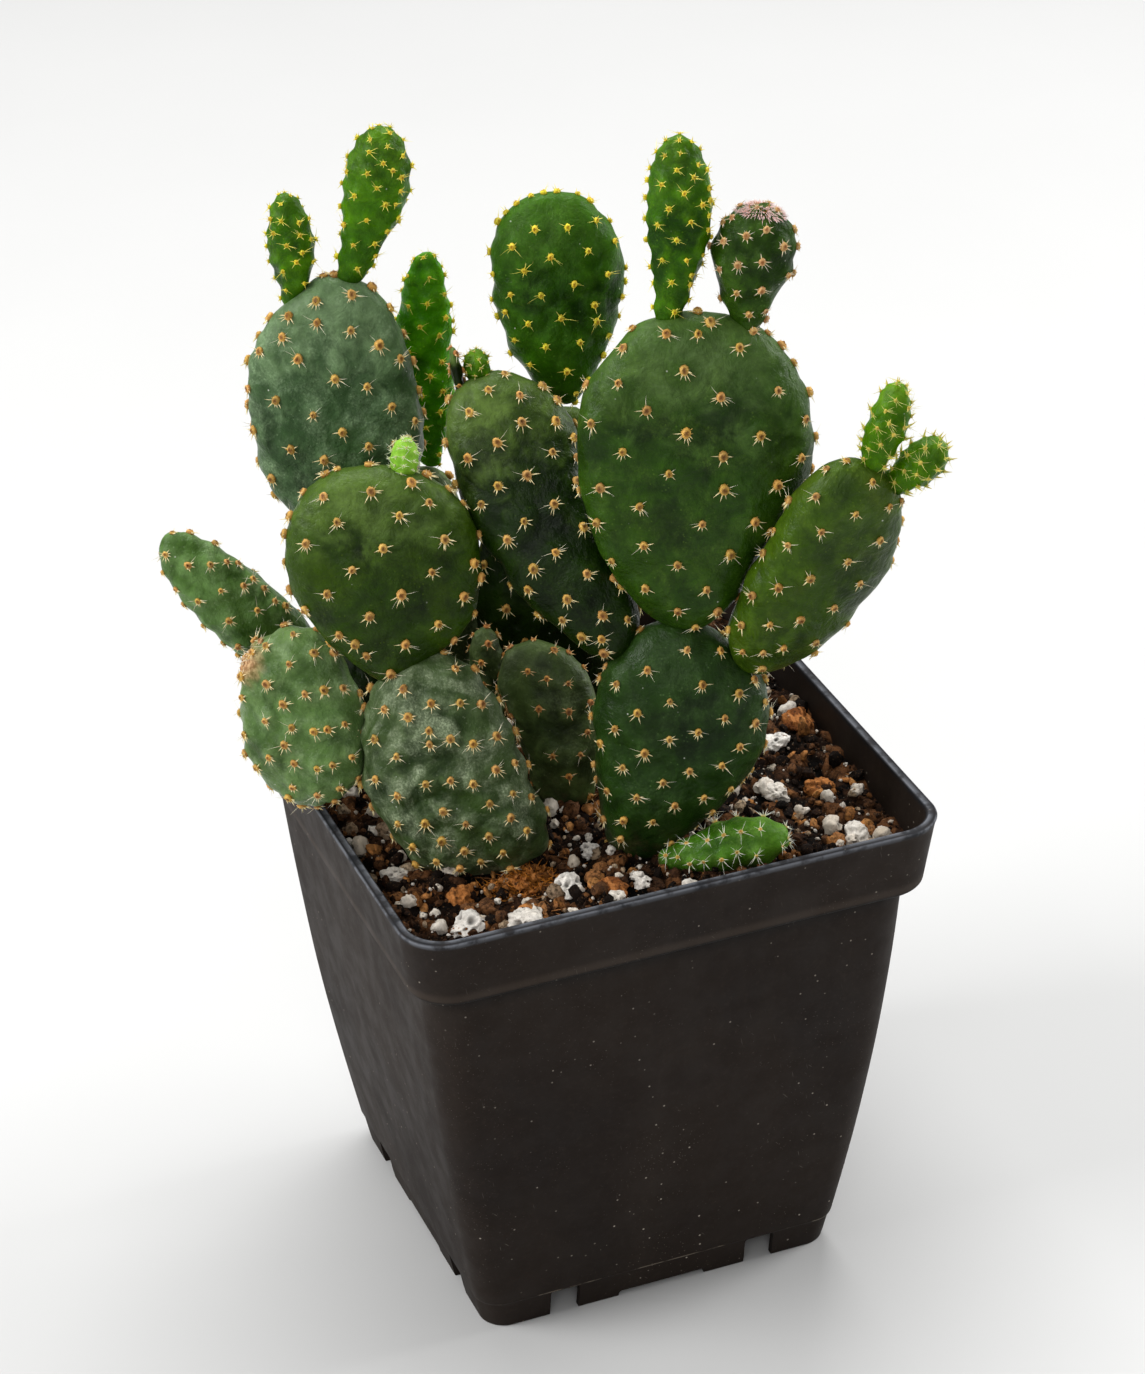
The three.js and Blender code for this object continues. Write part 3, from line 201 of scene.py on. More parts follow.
def lin(r, g, b):
    """A display colour, 0 to 255, as linear light."""
    c = np.array([r, g, b], float) / 255
    return np.where(c <= 0.04045, c / 12.92, ((c + 0.055) / 1.055) ** 2.4)


def make(name, verts, tris=None, quads=None, attrs=None, colours=None, smooth=True, sharp=None):
    me = bpy.data.meshes.new(name)
    v = (np.asarray(verts, float) + SHIFT) * MM
    me.vertices.add(len(v))
    me.vertices.foreach_set('co', v.astype(np.float32).ravel())
    parts, starts, at = [], [], 0
    for f, k in ((tris, 3), (quads, 4)):
        if f is not None and len(f):
            f = np.asarray(f, np.int32)
            parts.append(f.ravel())
            starts.append(at + np.arange(len(f)) * k)
            at += len(f) * k
    loops, starts = np.concatenate(parts), np.concatenate(starts)
    me.loops.add(len(loops))
    me.loops.foreach_set('vertex_index', loops.astype(np.int32))
    me.polygons.add(len(starts))
    me.polygons.foreach_set('loop_start', starts.astype(np.int32))
    me.update(calc_edges=True)
    me.validate()
    me.polygons.foreach_set('use_smooth', np.full(len(me.polygons), smooth))
    for key, value in (attrs or {}).items():
        a = me.attributes.new(key, 'FLOAT', 'POINT')
        a.data.foreach_set('value', np.asarray(value, np.float32))
    if colours is not None:
        a = me.attributes.new('tint', 'FLOAT_COLOR', 'POINT')
        c = np.ones((len(v), 4), np.float32)
        c[:, :3] = colours
        a.data.foreach_set('color', c.ravel())
    if sharp:
        me.set_sharp_from_angle(angle=math.radians(sharp))
    ob = bpy.data.objects.new(name, me)
    bpy.context.scene.collection.objects.link(ob)
    return ob


def finish_piece(ob, material, nodes=()):
    ob.data.materials.clear()
    ob.data.materials.append(material)
    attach(ob, 'root')
    if nodes:
        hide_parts(*nodes)
    return ob


# --------------------------------------------------------------- the soil's level
def wave(x, y):
    return (np.sin(x * 0.31 + 1.3) * np.cos(y * 0.27 + 0.4) + 0.6 * np.sin(x * 0.13 - y * 0.19 + 2.1)
            + 0.35 * np.sin(x * 0.71 + y * 0.53))


def soil_level(x, y):
    corner = smooth01((x - 18) / 30) * smooth01((-y - 8) / 36)
    return SOIL_LEVEL + 0.75 * wave(x, y) - 3.6 * corner + 0.6 * smooth01((y - 5) / 45)


# -------------------------------------------------------------------------- pads
def outline(r, a, slope=False):
    v = np.zeros_like(a) if slope else np.full_like(a, r[0])
    for k in range(1, (len(r) - 1) // 2 + 1):
        c, s = r[2 * k - 1], r[2 * k]
        v = v + (k * (-c * np.sin(k * a) + s * np.cos(k * a)) if slope else c * np.cos(k * a) + s * np.sin(k * a))
    return v


class Pad:
    def __init__(self, name):
        p = PADS[name]
        self.name, self.r, self.thick = name, p['radius'], p['thick']
        self.c = np.array(p['centre'], float)
        self.w, self.u = unit(p['side']), unit(p['up'])
        self.n = unit(np.cross(self.w, self.u))
        self.mean = self.r[0]

    def at(self, a, b):
        """Place and outward direction at polar angle a and b, from 0 at the middle of the front to pi at the back."""
        a, b = np.asarray(a, float), np.asarray(b, float)
        R, dR = outline(self.r, a), outline(self.r, a, True)
        Z = self.thick / 2
        rho = np.sin(np.clip(b, 0, math.pi)) ** 0.8
        h = np.sign(np.cos(b)) * np.abs(np.cos(b)) ** 0.8
        ca, sa = np.cos(a)[..., None], np.sin(a)[..., None]
        er, et = self.w * ca + self.u * sa, -self.w * sa + self.u * ca
        pos = self.c + er * (R * rho)[..., None] + self.n * (h * Z)[..., None]
        fr = rho ** 1.5 / R
        ft = -rho ** 1.5 * dR / R ** 2
        fz = np.sign(h) * np.abs(h) ** 1.5 / Z
        nrm = unit(er * fr[..., None] + et * ft[..., None] + self.n * fz[..., None])
        return pos, nrm

    def from_plane(self, x, y, back=False):
        x, y = np.asarray(x, float), np.asarray(y, float)
        a = np.arctan2(y, x)
        rho = np.minimum(np.hypot(x, y) / outline(self.r, a), 1.0)
        rho = np.where(rho > 0.982, 1.0, rho)
        b = np.arcsin(np.clip(rho ** 1.25, 0, 1))
        return a, (math.pi - b if back else b)

    def inside(self, p, grow=0.0):
        """Below 1 inside."""
        q = p - self.c
        x, y, z = q @ self.w, q @ self.u, q @ self.n
        a = np.arctan2(y, x)
        return ((np.hypot(x, y) / (outline(self.r, a) + grow)) ** 2.5 + (np.abs(z) / (self.thick / 2 + grow)) ** 2.5)


class Shoot:
    def __init__(self, name):
        s = SHOOTS[name]
        self.name, self.s = name, s
        self.base, self.tip = np.array(s['base'], float), np.array(s['tip'], float)
        self.length = float(np.linalg.norm(self.tip - self.base))
        self.u = unit(self.tip - self.base)
        self.w = unit(s['side'])
        self.n = unit(np.cross(self.w, self.u))

    def width(self, t):
        s = self.s
        t = np.asarray(t, float)
        foot = s['foot'] + (1 - s['foot']) * smooth01(t / s['widest'])
        tip = np.sqrt(np.maximum(0, 1 - np.maximum(0, (t - s['widest']) / (1 - s['widest'])) ** 2.3))
        end = np.where(t < 0.06, np.sqrt(np.maximum(0, 1 - (1 - t / 0.06) ** 2)), 1.0)
        return foot * tip * end

    def place(self, t, a):
        s = self.s
        w = self.width(t)
        return (self.base + self.u * (t * self.length)[..., None]
                + self.w * (s['bend'] * 4 * t * (1 - t) + s['half'] * w * np.cos(a))[..., None]
                + self.n * (s['halfThick'] * w * np.sin(a))[..., None])

    def at(self, t, a):
        t, a = np.asarray(t, float), np.asarray(a, float)
        pos = self.place(t, a)
        e = 0.004
        tt = np.clip(t, e, 1 - e)
        dt = self.place(tt + e * 0.9, a) - self.place(tt - e * 0.9, a)
        da = self.place(tt, a + 0.02) - self.place(tt, a - 0.02)
        nrm = unit(np.cross(da, dt))
        out = self.w * (np.cos(a))[..., None] + self.n * (np.sin(a))[..., None]
        flip = np.sum(nrm * out, -1) < 0
        nrm = np.where(flip[..., None], -nrm, nrm)
        k = smooth01((t - 0.985) / 0.015)[..., None]
        return pos, unit(nrm * (1 - k) + self.u * k)

    def inside(self, p, grow=0.0):
        q = p - self.base
        t = (q @ self.u) / self.length
        tc = np.clip(t, 0, 1)
        w = np.maximum(self.width(tc), 1e-3)
        x = q @ self.w - self.s['bend'] * 4 * tc * (1 - tc)
        z = q @ self.n
        v = (x / (self.s['half'] * w + grow)) ** 2 + (z / (self.s['halfThick'] * w + grow)) ** 2
        return np.where((t < 0) | (t > 1), 9.0, v)


BODIES = {n: Pad(n) for n in PADS}
BODIES.update({n: Shoot(n) for n in SHOOTS})


# ---------------------------------------------------------- where the areoles sit
def inside_other(name, p, limit=1.0):
    """True where a point lies in another segment."""
    hit = np.zeros(len(p), bool)
    for other, body in BODIES.items():
        if other != name:
            hit |= body.inside(p) < limit
    return hit


def keep_apart(first, more, gap):
    """Points of more, in order, that stay gap away from each other and from first."""
    kept = list(first)
    out = []
    for i, q in enumerate(more):
        if not kept or np.min(np.linalg.norm(np.array(kept) - q, axis=1)) > gap:
            kept.append(q)
            out.append(i)
    return out


def pad_areoles(name, rng):
    pad = BODIES[name]
    s, text = FRONT[name]
    xy = np.array([[float(v) for v in q.split(',')] for q in text.split()])
    a, b = pad.from_plane(xy[:, 0], xy[:, 1])
    pa, pb = list(a), list(b)
    s = max(s, 5.2)
    # the back: rows turned a little, every other one half a step along
    step = s * 1.12
    rows, turn = [], rng.uniform(-0.35, 0.35)
    for i in range(-12, 13):
        for j in range(-12, 13):
            x = (j + 0.5 * (i % 2)) * step + rng.uniform(-0.12, 0.12) * step
            y = i * step * 0.88 + rng.uniform(-0.12, 0.12) * step
            rows.append((x * math.cos(turn) - y * math.sin(turn), x * math.sin(turn) + y * math.cos(turn)))
    rows = np.array(rows)
    ra = np.arctan2(rows[:, 1], rows[:, 0])
    rows = rows[np.hypot(rows[:, 0], rows[:, 1]) < outline(pad.r, ra) * 0.86]
    a, b = pad.from_plane(rows[:, 0], rows[:, 1], back=True)
    pa += list(a)
    pb += list(b)
    # the edge, closer together round the top
    fine = np.linspace(0, 2 * math.pi, 721)[:-1]
    R = outline(pad.r, fine)
    edge = np.stack([R * np.cos(fine), R * np.sin(fine)], 1)
    arc = np.concatenate([[0], np.cumsum(np.linalg.norm(np.diff(edge, axis=0), axis=1))])
    at, k = [], 0
    where = rng.uniform(0, s)
    while where < arc[-1]:
        ang = np.interp(where, arc, fine)
        if not -math.pi / 2 - 0.3 < (ang if ang < math.pi else ang - 2 * math.pi) < -math.pi / 2 + 0.3:
            at.append((ang, math.pi / 2 + rng.uniform(-0.12, 0.22)))
        top = 0.5 + 0.5 * math.sin(ang)
        where += s * (1.36 - 0.36 * top) * rng.uniform(0.85, 1.15)
    pos, _ = pad.at(np.array(pa), np.array(pb))
    edge_pos, _ = pad.at(np.array([q[0] for q in at]), np.array([q[1] for q in at]))
    for i in keep_apart(pos, edge_pos, s * 0.80):
        pa.append(at[i][0])
        pb.append(at[i][1])
    pos, nrm = pad.at(np.array(pa), np.array(pb))
    # drop what lies in the soil or in another segment
    ok = (pos[:, 2] > soil_level(pos[:, 0], pos[:, 1]) + 0.6) & ~inside_other(name, pos + nrm * 0.2)
    pos, nrm = pos[ok], nrm[ok]
    near = []
    for i in range(len(pos)):
        if all(np.linalg.norm(pos[i] - pos[j]) > 1.9 for j in near):
            near.append(i)
    return pos[near], nrm[near]


def shoot_areoles(name, rng, gap):
    sh = BODIES[name]
    _, text = FRONT[name]
    t, a = [], []
    for q in text.split():
        tt, r = (float(v) for v in q.split(','))
        t.append(tt)
        a.append(math.acos(max(-1.0, min(1.0, r))))
    measured = len(t)
    pos0 = sh.at(np.array(t), np.array(a))[0] if t else np.zeros((0, 3))
    # a spiral over the whole shoot fills the sides that the front view doesn't reach
    extra = []
    n = int(sh.length / gap * 16) + 60
    for i in range(n):
        tt = 0.07 + 0.93 * (i + 0.5) / n
        extra.append((tt, (i * 2.39996) % (2 * math.pi)))
    extra.sort(key=lambda q: -q[0])
    for i in range(len(extra)):
        extra[i] = (min(0.996, extra[i][0]), extra[i][1] + rng.uniform(-0.1, 0.1))
    et, ea = np.array([q[0] for q in extra]), np.array([q[1] for q in extra])
    epos = sh.at(et, ea)[0]
    front = (np.sin(ea) > 0.05) & (len(text) > 40) & (et < 0.93)
    order = np.arange(len(extra))
    kept = list(pos0)
    for i in order:
        local = gap * (1.18 if front[i] else 1.0) * (0.62 if et[i] > 0.93 else 1.0)
        if not kept or np.min(np.linalg.norm(np.array(kept) - epos[i], axis=1)) > local:
            kept.append(epos[i])
            t.append(et[i])
            a.append(ea[i])
    t, a = np.array(t), np.array(a)
    pos, nrm = sh.at(t, a)
    ok = (pos[:, 2] > soil_level(pos[:, 0], pos[:, 1]) + 0.4) & ~inside_other(name, pos + nrm * 0.15)
    pos, nrm, t = pos[ok], nrm[ok], t[ok]
    near = []
    for i in range(len(pos)):
        if all(np.linalg.norm(pos[i] - pos[j]) > gap * 0.42 for j in near):
            near.append(i)
    return pos[near], nrm[near], t[near]


def swell(name, pos, spots, mound, spread, seed):
    """How far the skin stands out at pos: slow undulation, and a mound under each areole."""
    amount, small = (0.42, 0.20) if name in PADS else (0.16, 0.08)
    if name in ('pad_base_left', 'pad_left_oval', 'pad_left_tall'):
        amount, small = 0.50, 0.32
    d = amount * fbm(pos / 10.5 + seed, 2, seed) + small * fbm(pos / 3.6 + seed, 2, seed + 9)
    d = d + 0.035 * fbm(pos / 1.1, 2, seed + 21)
    lift = np.zeros(len(pos))
    for k in range(0, len(spots), 32):
        q = pos[:, None, :] - spots[None, k:k + 32, :]
        r2 = np.sum(q * q, -1)
        lift = np.maximum(lift, np.exp(-r2 / (2 * spread ** 2)).max(1))
    return d + mound * (lift - 0.25), lift


# ------------------------------------------------------- tufts, bristles and spines
class Parts:
    """Triangles gathered from many small closed pieces."""

    def __init__(self):
        self.v, self.f, self.c, self.n = [], [], [], 0

    def add(self, v, f, c):
        v, c = v.reshape(-1, 3), c.reshape(-1, 3)
        self.v.append(v)
        self.f.append(f.reshape(-1, 3) + self.n)
        self.c.append(c)
        self.n += len(v)

    def get(self):
        return np.concatenate(self.v), np.concatenate(self.f), np.concatenate(self.c)


def frames(d, rng):
    """Two directions across each of d."""
    helper = np.where(np.abs(d[:, 2:3]) < 0.8, np.array([[0, 0, 1.0]]), np.array([[1.0, 0, 0]]))
    e1 = unit(np.cross(d, helper))
    e2 = np.cross(d, e1)
    r = rng.uniform(0, 2 * math.pi, len(d))[:, None]
    return e1 * np.cos(r) + e2 * np.sin(r), -e1 * np.sin(r) + e2 * np.cos(r)


def cones(parts, base, d, length, radius, bend, colours, rng, sides=3, rings=2, power=0.75):
    """Closed tapered spines. colours is a list of rings + 1 arrays (N, 3), from the foot to the point."""
    N = len(base)
    if N == 0:
        return
    e1, e2 = frames(d, rng)
    v = np.zeros((N, rings * sides + 1, 3))
    c = np.zeros((N, rings * sides + 1, 3))
    for k in range(rings):
        s = k / rings
        centre = base + d * (length * s)[:, None] + bend * (s * s)
        rr = radius * (1 - s) ** power
        for j in range(sides):
            ang = 2 * math.pi * j / sides
            v[:, k * sides + j] = centre + e1 * (rr * math.cos(ang))[:, None] + e2 * (rr * math.sin(ang))[:, None]
            c[:, k * sides + j] = colours[k]
    v[:, -1] = base + d * length[:, None] + bend
    c[:, -1] = colours[rings]
    f = []
    for k in range(rings - 1):
        for j in range(sides):
            p, q = k * sides + j, k * sides + (j + 1) % sides
            f += [(p, q, q + sides), (p, q + sides, p + sides)]
    for j in range(sides):
        f.append(((rings - 1) * sides + j, (rings - 1) * sides + (j + 1) % sides, rings * sides))
    for j in range(1, sides - 1):
        f.append((0, j + 1, j))
    f = np.array(f)
    idx = f[None] + (np.arange(N) * (rings * sides + 1))[:, None, None]
    parts.add(v, idx, c)


def domes(parts, pos, nrm, side, fore, radius, height, low, high, core, rng, sides=9):
    """Closed cushions, a little longer along the segment, pale at the shoulder and dark in the middle."""
    N = len(pos)
    e1, e2 = side, fore
    levels = [(0.90, -0.35, 0.0), (1.03, 0.22, 0.45), (0.84, 0.74, 1.0), (0.46, 0.96, 0.45)]
    count = len(levels) * sides + 2
    v = np.zeros((N, count, 3))
    c = np.zeros((N, count, 3))
    turn = rng.uniform(0, 2 * math.pi, N)
    for k, (rr, hh, tone) in enumerate(levels):
        for j in range(sides):
            ang = turn + 2 * math.pi * (j + 0.5 * (k % 2)) / sides
            wob = radius * rr * rng.uniform(0.88, 1.13, N)
            v[:, k * sides + j] = (pos + e1 * (wob * 0.94 * np.cos(ang))[:, None] + e2 * (wob * 1.12 * np.sin(ang))[:, None]
                                   + nrm * (height * hh * rng.uniform(0.88, 1.14, N))[:, None])
            mixed = np.clip(tone + rng.uniform(-0.3, 0.3, (N, 1)), 0, 1)
            c[:, k * sides + j] = low + (high - low) * mixed if k < 3 else core + (high - core) * (mixed * 0.6)
    v[:, -2] = pos - nrm * (height * 0.35)[:, None]
    v[:, -1] = pos + nrm * (height * rng.uniform(0.62, 0.86, N))[:, None]
    c[:, -2] = low * 0.5
    c[:, -1] = core
    f = []
    for k in range(len(levels) - 1):
        for j in range(sides):
            p, q = k * sides + j, k * sides + (j + 1) % sides
            f += [(p, q, q + sides), (p, q + sides, p + sides)]
    for j in range(sides):
        f.append(((len(levels) - 1) * sides + j, (len(levels) - 1) * sides + (j + 1) % sides, count - 1))
        f.append(((j + 1) % sides, j, count - 2))
    idx = np.array(f)[None] + (np.arange(N) * count)[:, None, None]
    parts.add(v, idx, c)


# wool low and high, its dark middle, bristle, spine foot, spine middle, spine
# point; cushion radius and height; bristles; short spines; their length; spine
# radius; how they rise; half the fan they fill; long thin whiskers
STYLES = {
    'tan': dict(low=lin(140, 94, 32), high=lin(224, 178, 92), core=lin(104, 62, 18), bristle=lin(236, 196, 112), foot=lin(216, 176, 100), mid=lin(252, 238, 186),
                point=lin(238, 206, 146), radius=0.92, height=0.9, bristles=20, spines=(4, 7), length=(0.9, 1.9), thick=0.13, rise=(-0.05, 0.5), fan=1.45,
                whiskers=(0, 3), whisker=(1.7, 3.1)),
    'yellow': dict(low=lin(196, 160, 8), high=lin(244, 230, 66), core=lin(180, 138, 14), bristle=lin(252, 232, 50), foot=lin(236, 206, 40), mid=lin(252, 240, 110),
                   point=lin(236, 214, 120), radius=0.48, height=0.52, bristles=10, spines=(3, 6), length=(0.6, 1.3), thick=0.095, rise=(0.15, 0.9), fan=3.0,
                   whiskers=(0, 3), whisker=(1.4, 2.6)),
    'pink': dict(low=lin(158, 106, 50), high=lin(216, 176, 116), core=lin(150, 96, 44), bristle=lin(220, 184, 130), foot=lin(212, 176, 122), mid=lin(246, 228, 190),
                 point=lin(244, 220, 200), radius=0.70, height=0.64, bristles=16, spines=(5, 8), length=(0.8, 1.35), thick=0.105, rise=(0.1, 0.6), fan=2.9,
                 whiskers=(0, 2), whisker=(1.4, 2.2)),
    'white': dict(low=lin(176, 136, 46), high=lin(232, 204, 112), core=lin(170, 118, 40), bristle=lin(236, 234, 200), foot=lin(228, 228, 180), mid=lin(248, 248, 232),
                  point=lin(246, 242, 222), radius=0.42, height=0.42, bristles=8, spines=(5, 8), length=(1.0, 2.1), thick=0.085, rise=(0.2, 1.2), fan=3.0,
                  whiskers=(1, 4), whisker=(1.8, 3.4)),
    'bud': dict(low=lin(140, 140, 40), high=lin(206, 196, 90), core=lin(150, 120, 40), bristle=lin(206, 190, 100), foot=lin(206, 190, 96), mid=lin(236, 228, 150),
                point=lin(200, 150, 80), radius=0.3, height=0.34, bristles=6, spines=(3, 5), length=(0.7, 1.3), thick=0.075, rise=(0.4, 1.3), fan=3.0,
                whiskers=(0, 1), whisker=(1.0, 1.6)),
    'speck': dict(low=lin(176, 206, 90), high=lin(236, 246, 190), core=lin(190, 206, 110), bristle=lin(236, 244, 190), foot=lin(200, 224, 130), mid=lin(240, 246, 206),
                  point=lin(236, 240, 200), radius=0.34, height=0.34, bristles=5, spines=(3, 5), length=(0.7, 1.3), thick=0.06, rise=(0.6, 1.8), fan=3.0,
                  whiskers=(1, 3), whisker=(1.2, 2.1)),
    'leafy': dict(low=lin(176, 150, 40), high=lin(226, 206, 90), core=lin(180, 130, 40), bristle=lin(226, 206, 96), foot=lin(206, 192, 80), mid=lin(236, 226, 128),
                  point=lin(236, 212, 130), radius=0.36, height=0.34, bristles=7, spines=(3, 6), length=(0.6, 1.3), thick=0.06, rise=(0.0, 1.1), fan=3.0,
                  whiskers=(3, 5), whisker=(1.4, 2.6)),
    'brown': dict(low=lin(124, 74, 28), high=lin(210, 150, 76), core=lin(96, 56, 22), bristle=lin(212, 154, 84), foot=lin(204, 154, 92), mid=lin(238, 206, 150),
                  point=lin(206, 150, 92), radius=0.8, height=0.66, bristles=16, spines=(3, 6), length=(0.9, 1.7), thick=0.12, rise=(0.1, 0.8), fan=2.2,
                  whiskers=(0, 2), whisker=(1.4, 2.4)),
}


def grow_areoles(parts, pos, nrm, up, style, rng, scale=1.0, age=None):
    """pos, nrm: foot and direction of each areole; up: towards the segment's tip."""
    st = STYLES[style]
    N = len(pos)
    if N == 0:
        return
    size = rng.uniform(0.78, 1.16, N) * scale
    shade = rng.uniform(0.72, 1.1, (N, 1)) * np.stack([np.ones(N), rng.uniform(0.9, 1.06, N), rng.uniform(0.8, 1.15, N)], 1)
    radius, height = st['radius'] * size, st['height'] * size * rng.uniform(0.8, 1.15, N)
    side = unit(np.cross(up, nrm))
    fore = unit(np.cross(nrm, side))          # along the skin, towards the tip
    twist = rng.normal(0, 0.22, N)[:, None]
    side, fore = side * np.cos(twist) + fore * np.sin(twist), -side * np.sin(twist) + fore * np.cos(twist)
    domes(parts, pos, nrm, side, fore, radius * 0.92, height, st['low'] * shade, st['high'] * shade, st['core'] * shade, rng)
    # stubby bristles out of the whole cushion
    nb = st['bristles']
    P = np.repeat(pos, nb, 0)
    Nn, S, F = np.repeat(nrm, nb, 0), np.repeat(side, nb, 0), np.repeat(fore, nb, 0)
    rad, hei = np.repeat(radius, nb), np.repeat(height, nb)
    phi = rng.uniform(0, 2 * math.pi, len(P))
    tilt = np.sqrt(rng.uniform(0.08, 1.0, len(P))) * 1.3
    out = S * np.cos(phi)[:, None] + F * np.sin(phi)[:, None]
    d = unit(out * np.sin(tilt)[:, None] + Nn * np.cos(tilt)[:, None])
    foot = P + out * (rad * 0.78 * np.sin(tilt))[:, None] + Nn * (hei * 0.72 * np.cos(tilt))[:, None]
    length = rng.uniform(0.26, 0.52, len(P)) * np.repeat(size, nb) * (st['radius'] + 0.25)
    tone = rng.uniform(0.55, 1.12, (len(P), 1)) * np.repeat(shade, nb, 0)
    cb = st['bristle'] * tone * (0.55 + 0.45 * smooth01(tilt / 0.8))[:, None]
    cones(parts, foot, d, length, np.full(len(P), 0.1) * np.repeat(size, nb) ** 0.5, np.zeros((len(P), 3)),
          [cb * 0.75, cb * 1.1], rng, 3, 1)
    # short stout spines that fan out towards the foot of the segment
    counts = rng.integers(st['spines'][0], st['spines'][1] + 1, N)
    own = np.repeat(np.arange(N), counts)
    M = len(own)
    rank = np.concatenate([np.arange(c) for c in counts])
    cnt = counts[own]
    fan = st['fan'] * np.where(rng.uniform(0, 1, N) < 0.18, 1.5, 1.0)[own]
    ang = -math.pi / 2 + np.minimum(fan, 3.0) * ((rank + 0.5) / cnt * 2 - 1) + rng.normal(0, 0.15, M)
    rise = rng.uniform(st['rise'][0], st['rise'][1], M)
    rise = np.where(rng.uniform(0, 1, M) < 0.07, rng.uniform(0.8, 1.3, M), rise)
    out = side[own] * np.cos(ang)[:, None] + fore[own] * np.sin(ang)[:, None]
    d = unit(out * np.cos(rise)[:, None] + nrm[own] * np.sin(rise)[:, None])
    foot = pos[own] + out * (radius[own] * 0.62)[:, None] + nrm[own] * (height[own] * 0.34)[:, None]
    length = rng.uniform(st['length'][0], st['length'][1], M) * size[own] ** 0.6
    thick = st['thick'] * rng.uniform(0.8, 1.2, M)
    bend = nrm[own] * (-length * rng.uniform(0.0, 0.12, M))[:, None] + unit(rng.normal(0, 1, (M, 3))) * (length * 0.05)[:, None]
    tone = rng.uniform(0.78, 1.1, (M, 1))
    cones(parts, foot, d, length, thick, bend, [st['foot'] * tone, st['mid'] * tone, st['point'] * tone], rng, 4 if st['thick'] > 0.11 else 3, 2, 0.5)
    # a few long hair-thin whiskers to the sides
    counts = rng.integers(st['whiskers'][0], st['whiskers'][1] + 1, N)
    own = np.repeat(np.arange(N), counts)
    M = len(own)
    if M == 0:
        return
    ang = rng.choice([0.25, 0.6, math.pi - 0.25, math.pi - 0.6, -0.5, math.pi + 0.5], M) + rng.normal(0, 0.3, M)
    rise = rng.uniform(0.1, 0.6, M)
    out = side[own] * np.cos(ang)[:, None] + fore[own] * np.sin(ang)[:, None]
    d = unit(out * np.cos(rise)[:, None] + nrm[own] * np.sin(rise)[:, None])
    foot = pos[own] + out * (radius[own] * 0.5)[:, None] + nrm[own] * (height[own] * 0.4)[:, None]
    length = rng.uniform(st['whisker'][0], st['whisker'][1], M) * size[own] ** 0.5
    bend = unit(rng.normal(0, 1, (M, 3))) * (length * 0.14)[:, None]
    tone = rng.uniform(0.8, 1.08, (M, 1))
    pale = st['mid'] if style in ('leafy', 'yellow', 'bud') else (st['mid'] + lin(250, 250, 240)) / 2
    cones(parts, foot, d, length, np.full(M, 0.042 if style == 'leafy' else 0.052), bend, [st['foot'] * tone, pale * tone, pale * tone], rng, 3, 2, 0.4)


# ------------------------------------------------------------------- skin meshes
def ring_grid(rows, around, first, last):
    """Faces between rows of vertices numbered row by row, closed by a point at each end."""
    q = []
    base = np.arange(around)
    nxt = (base + 1) % around
    for k in range(rows - 1):
        q.append(np.stack([k * around + base, (k + 1) * around + base, (k + 1) * around + nxt, k * around + nxt], 1))
    t = [np.stack([np.full(around, first), base, nxt], 1),
         np.stack([np.full(around, last), (rows - 1) * around + nxt, (rows - 1) * around + base], 1)]
    return np.concatenate(q), np.concatenate(t)


def turn_outward(v, tris, quads):
    a = v[tris]
    vol = np.einsum('ij,ij->i', a[:, 0], np.cross(a[:, 1], a[:, 2])).sum()
    for s in ((0, 1, 2), (0, 2, 3)):
        b = v[quads][:, s]
        vol += np.einsum('ij,ij->i', b[:, 0], np.cross(b[:, 1], b[:, 2])).sum()
    return (tris[:, ::-1], quads[:, ::-1]) if vol < 0 else (tris, quads)


def build_pad(name, spots, around, seed):
    pad = BODIES[name]
    # rows an even step apart from the middle of the front to the middle of the back
    fine = np.linspace(0, math.pi, 900)
    rho, h = np.sin(fine) ** 0.8, np.sign(np.cos(fine)) * np.abs(np.cos(fine)) ** 0.8
    arc = np.concatenate([[0], np.cumsum(np.hypot(np.diff(rho) * pad.mean, np.diff(h) * pad.thick / 2))])
    rows = int(arc[-1] / (2 * math.pi * pad.mean / around) * 0.86)
    b = np.interp(np.linspace(0, arc[-1], rows + 2)[1:-1], arc, fine)
    a = np.linspace(0, 2 * math.pi, around, endpoint=False)
    B, A = np.meshgrid(b, a, indexing='ij')
    pos, nrm = pad.at(A.ravel(), B.ravel())
    ends, en = pad.at(np.array([0.0, 0.0]), np.array([0.0, math.pi]))
    pos, nrm = np.concatenate([pos, ends]), np.concatenate([nrm, en])
    quads, tris = ring_grid(rows, around, rows * around, rows * around + 1)
    kind, _, mound, spread = KINDS[name]
    d, lift = swell(name, pos, spots, mound, spread, seed)
    along = ((pos - pad.c) @ pad.u)
    top, foot = outline(pad.r, np.array([math.pi / 2]))[0], outline(pad.r, np.array([-math.pi / 2]))[0]
    age = np.clip((along + foot) / (top + foot), 0, 1)
    # painted rim light: rim is 1 round the pad's edge, where the material makes the skin paler
    rim = np.concatenate([np.sin(B).ravel() ** 6, [0, 0]])
    cork = np.zeros(len(pos))
    if name == 'pad_left_oval':
        scar = pad.at(np.array([SCAR[0]]), np.array([SCAR[1]]))[0][0]
        r = np.linalg.norm(pos - scar, axis=1)
        cork = smooth01(1.35 - r / 4.0 + 0.3 * fbm(pos / 1.6, 2, 5))
        d = d + cork * (0.25 + 0.4 * fbm(pos / 1.0, 3, 6))
    low = smooth01(1 - (along + foot) / 4.5)
    v = pos + nrm * d[:, None]
    tris, quads = turn_outward(v, tris, quads)
    # the carried segment's foot, and how near the skin lies to the soil, where the material dusts it with brown soil
    soil_near = smooth01(1 - (pos[:, 2] - soil_level(pos[:, 0], pos[:, 1])) / 9.0)
    return v, tris, quads, dict(age=age, lift=lift, rim=rim, cork=cork, foot=low, soiled=soil_near), d


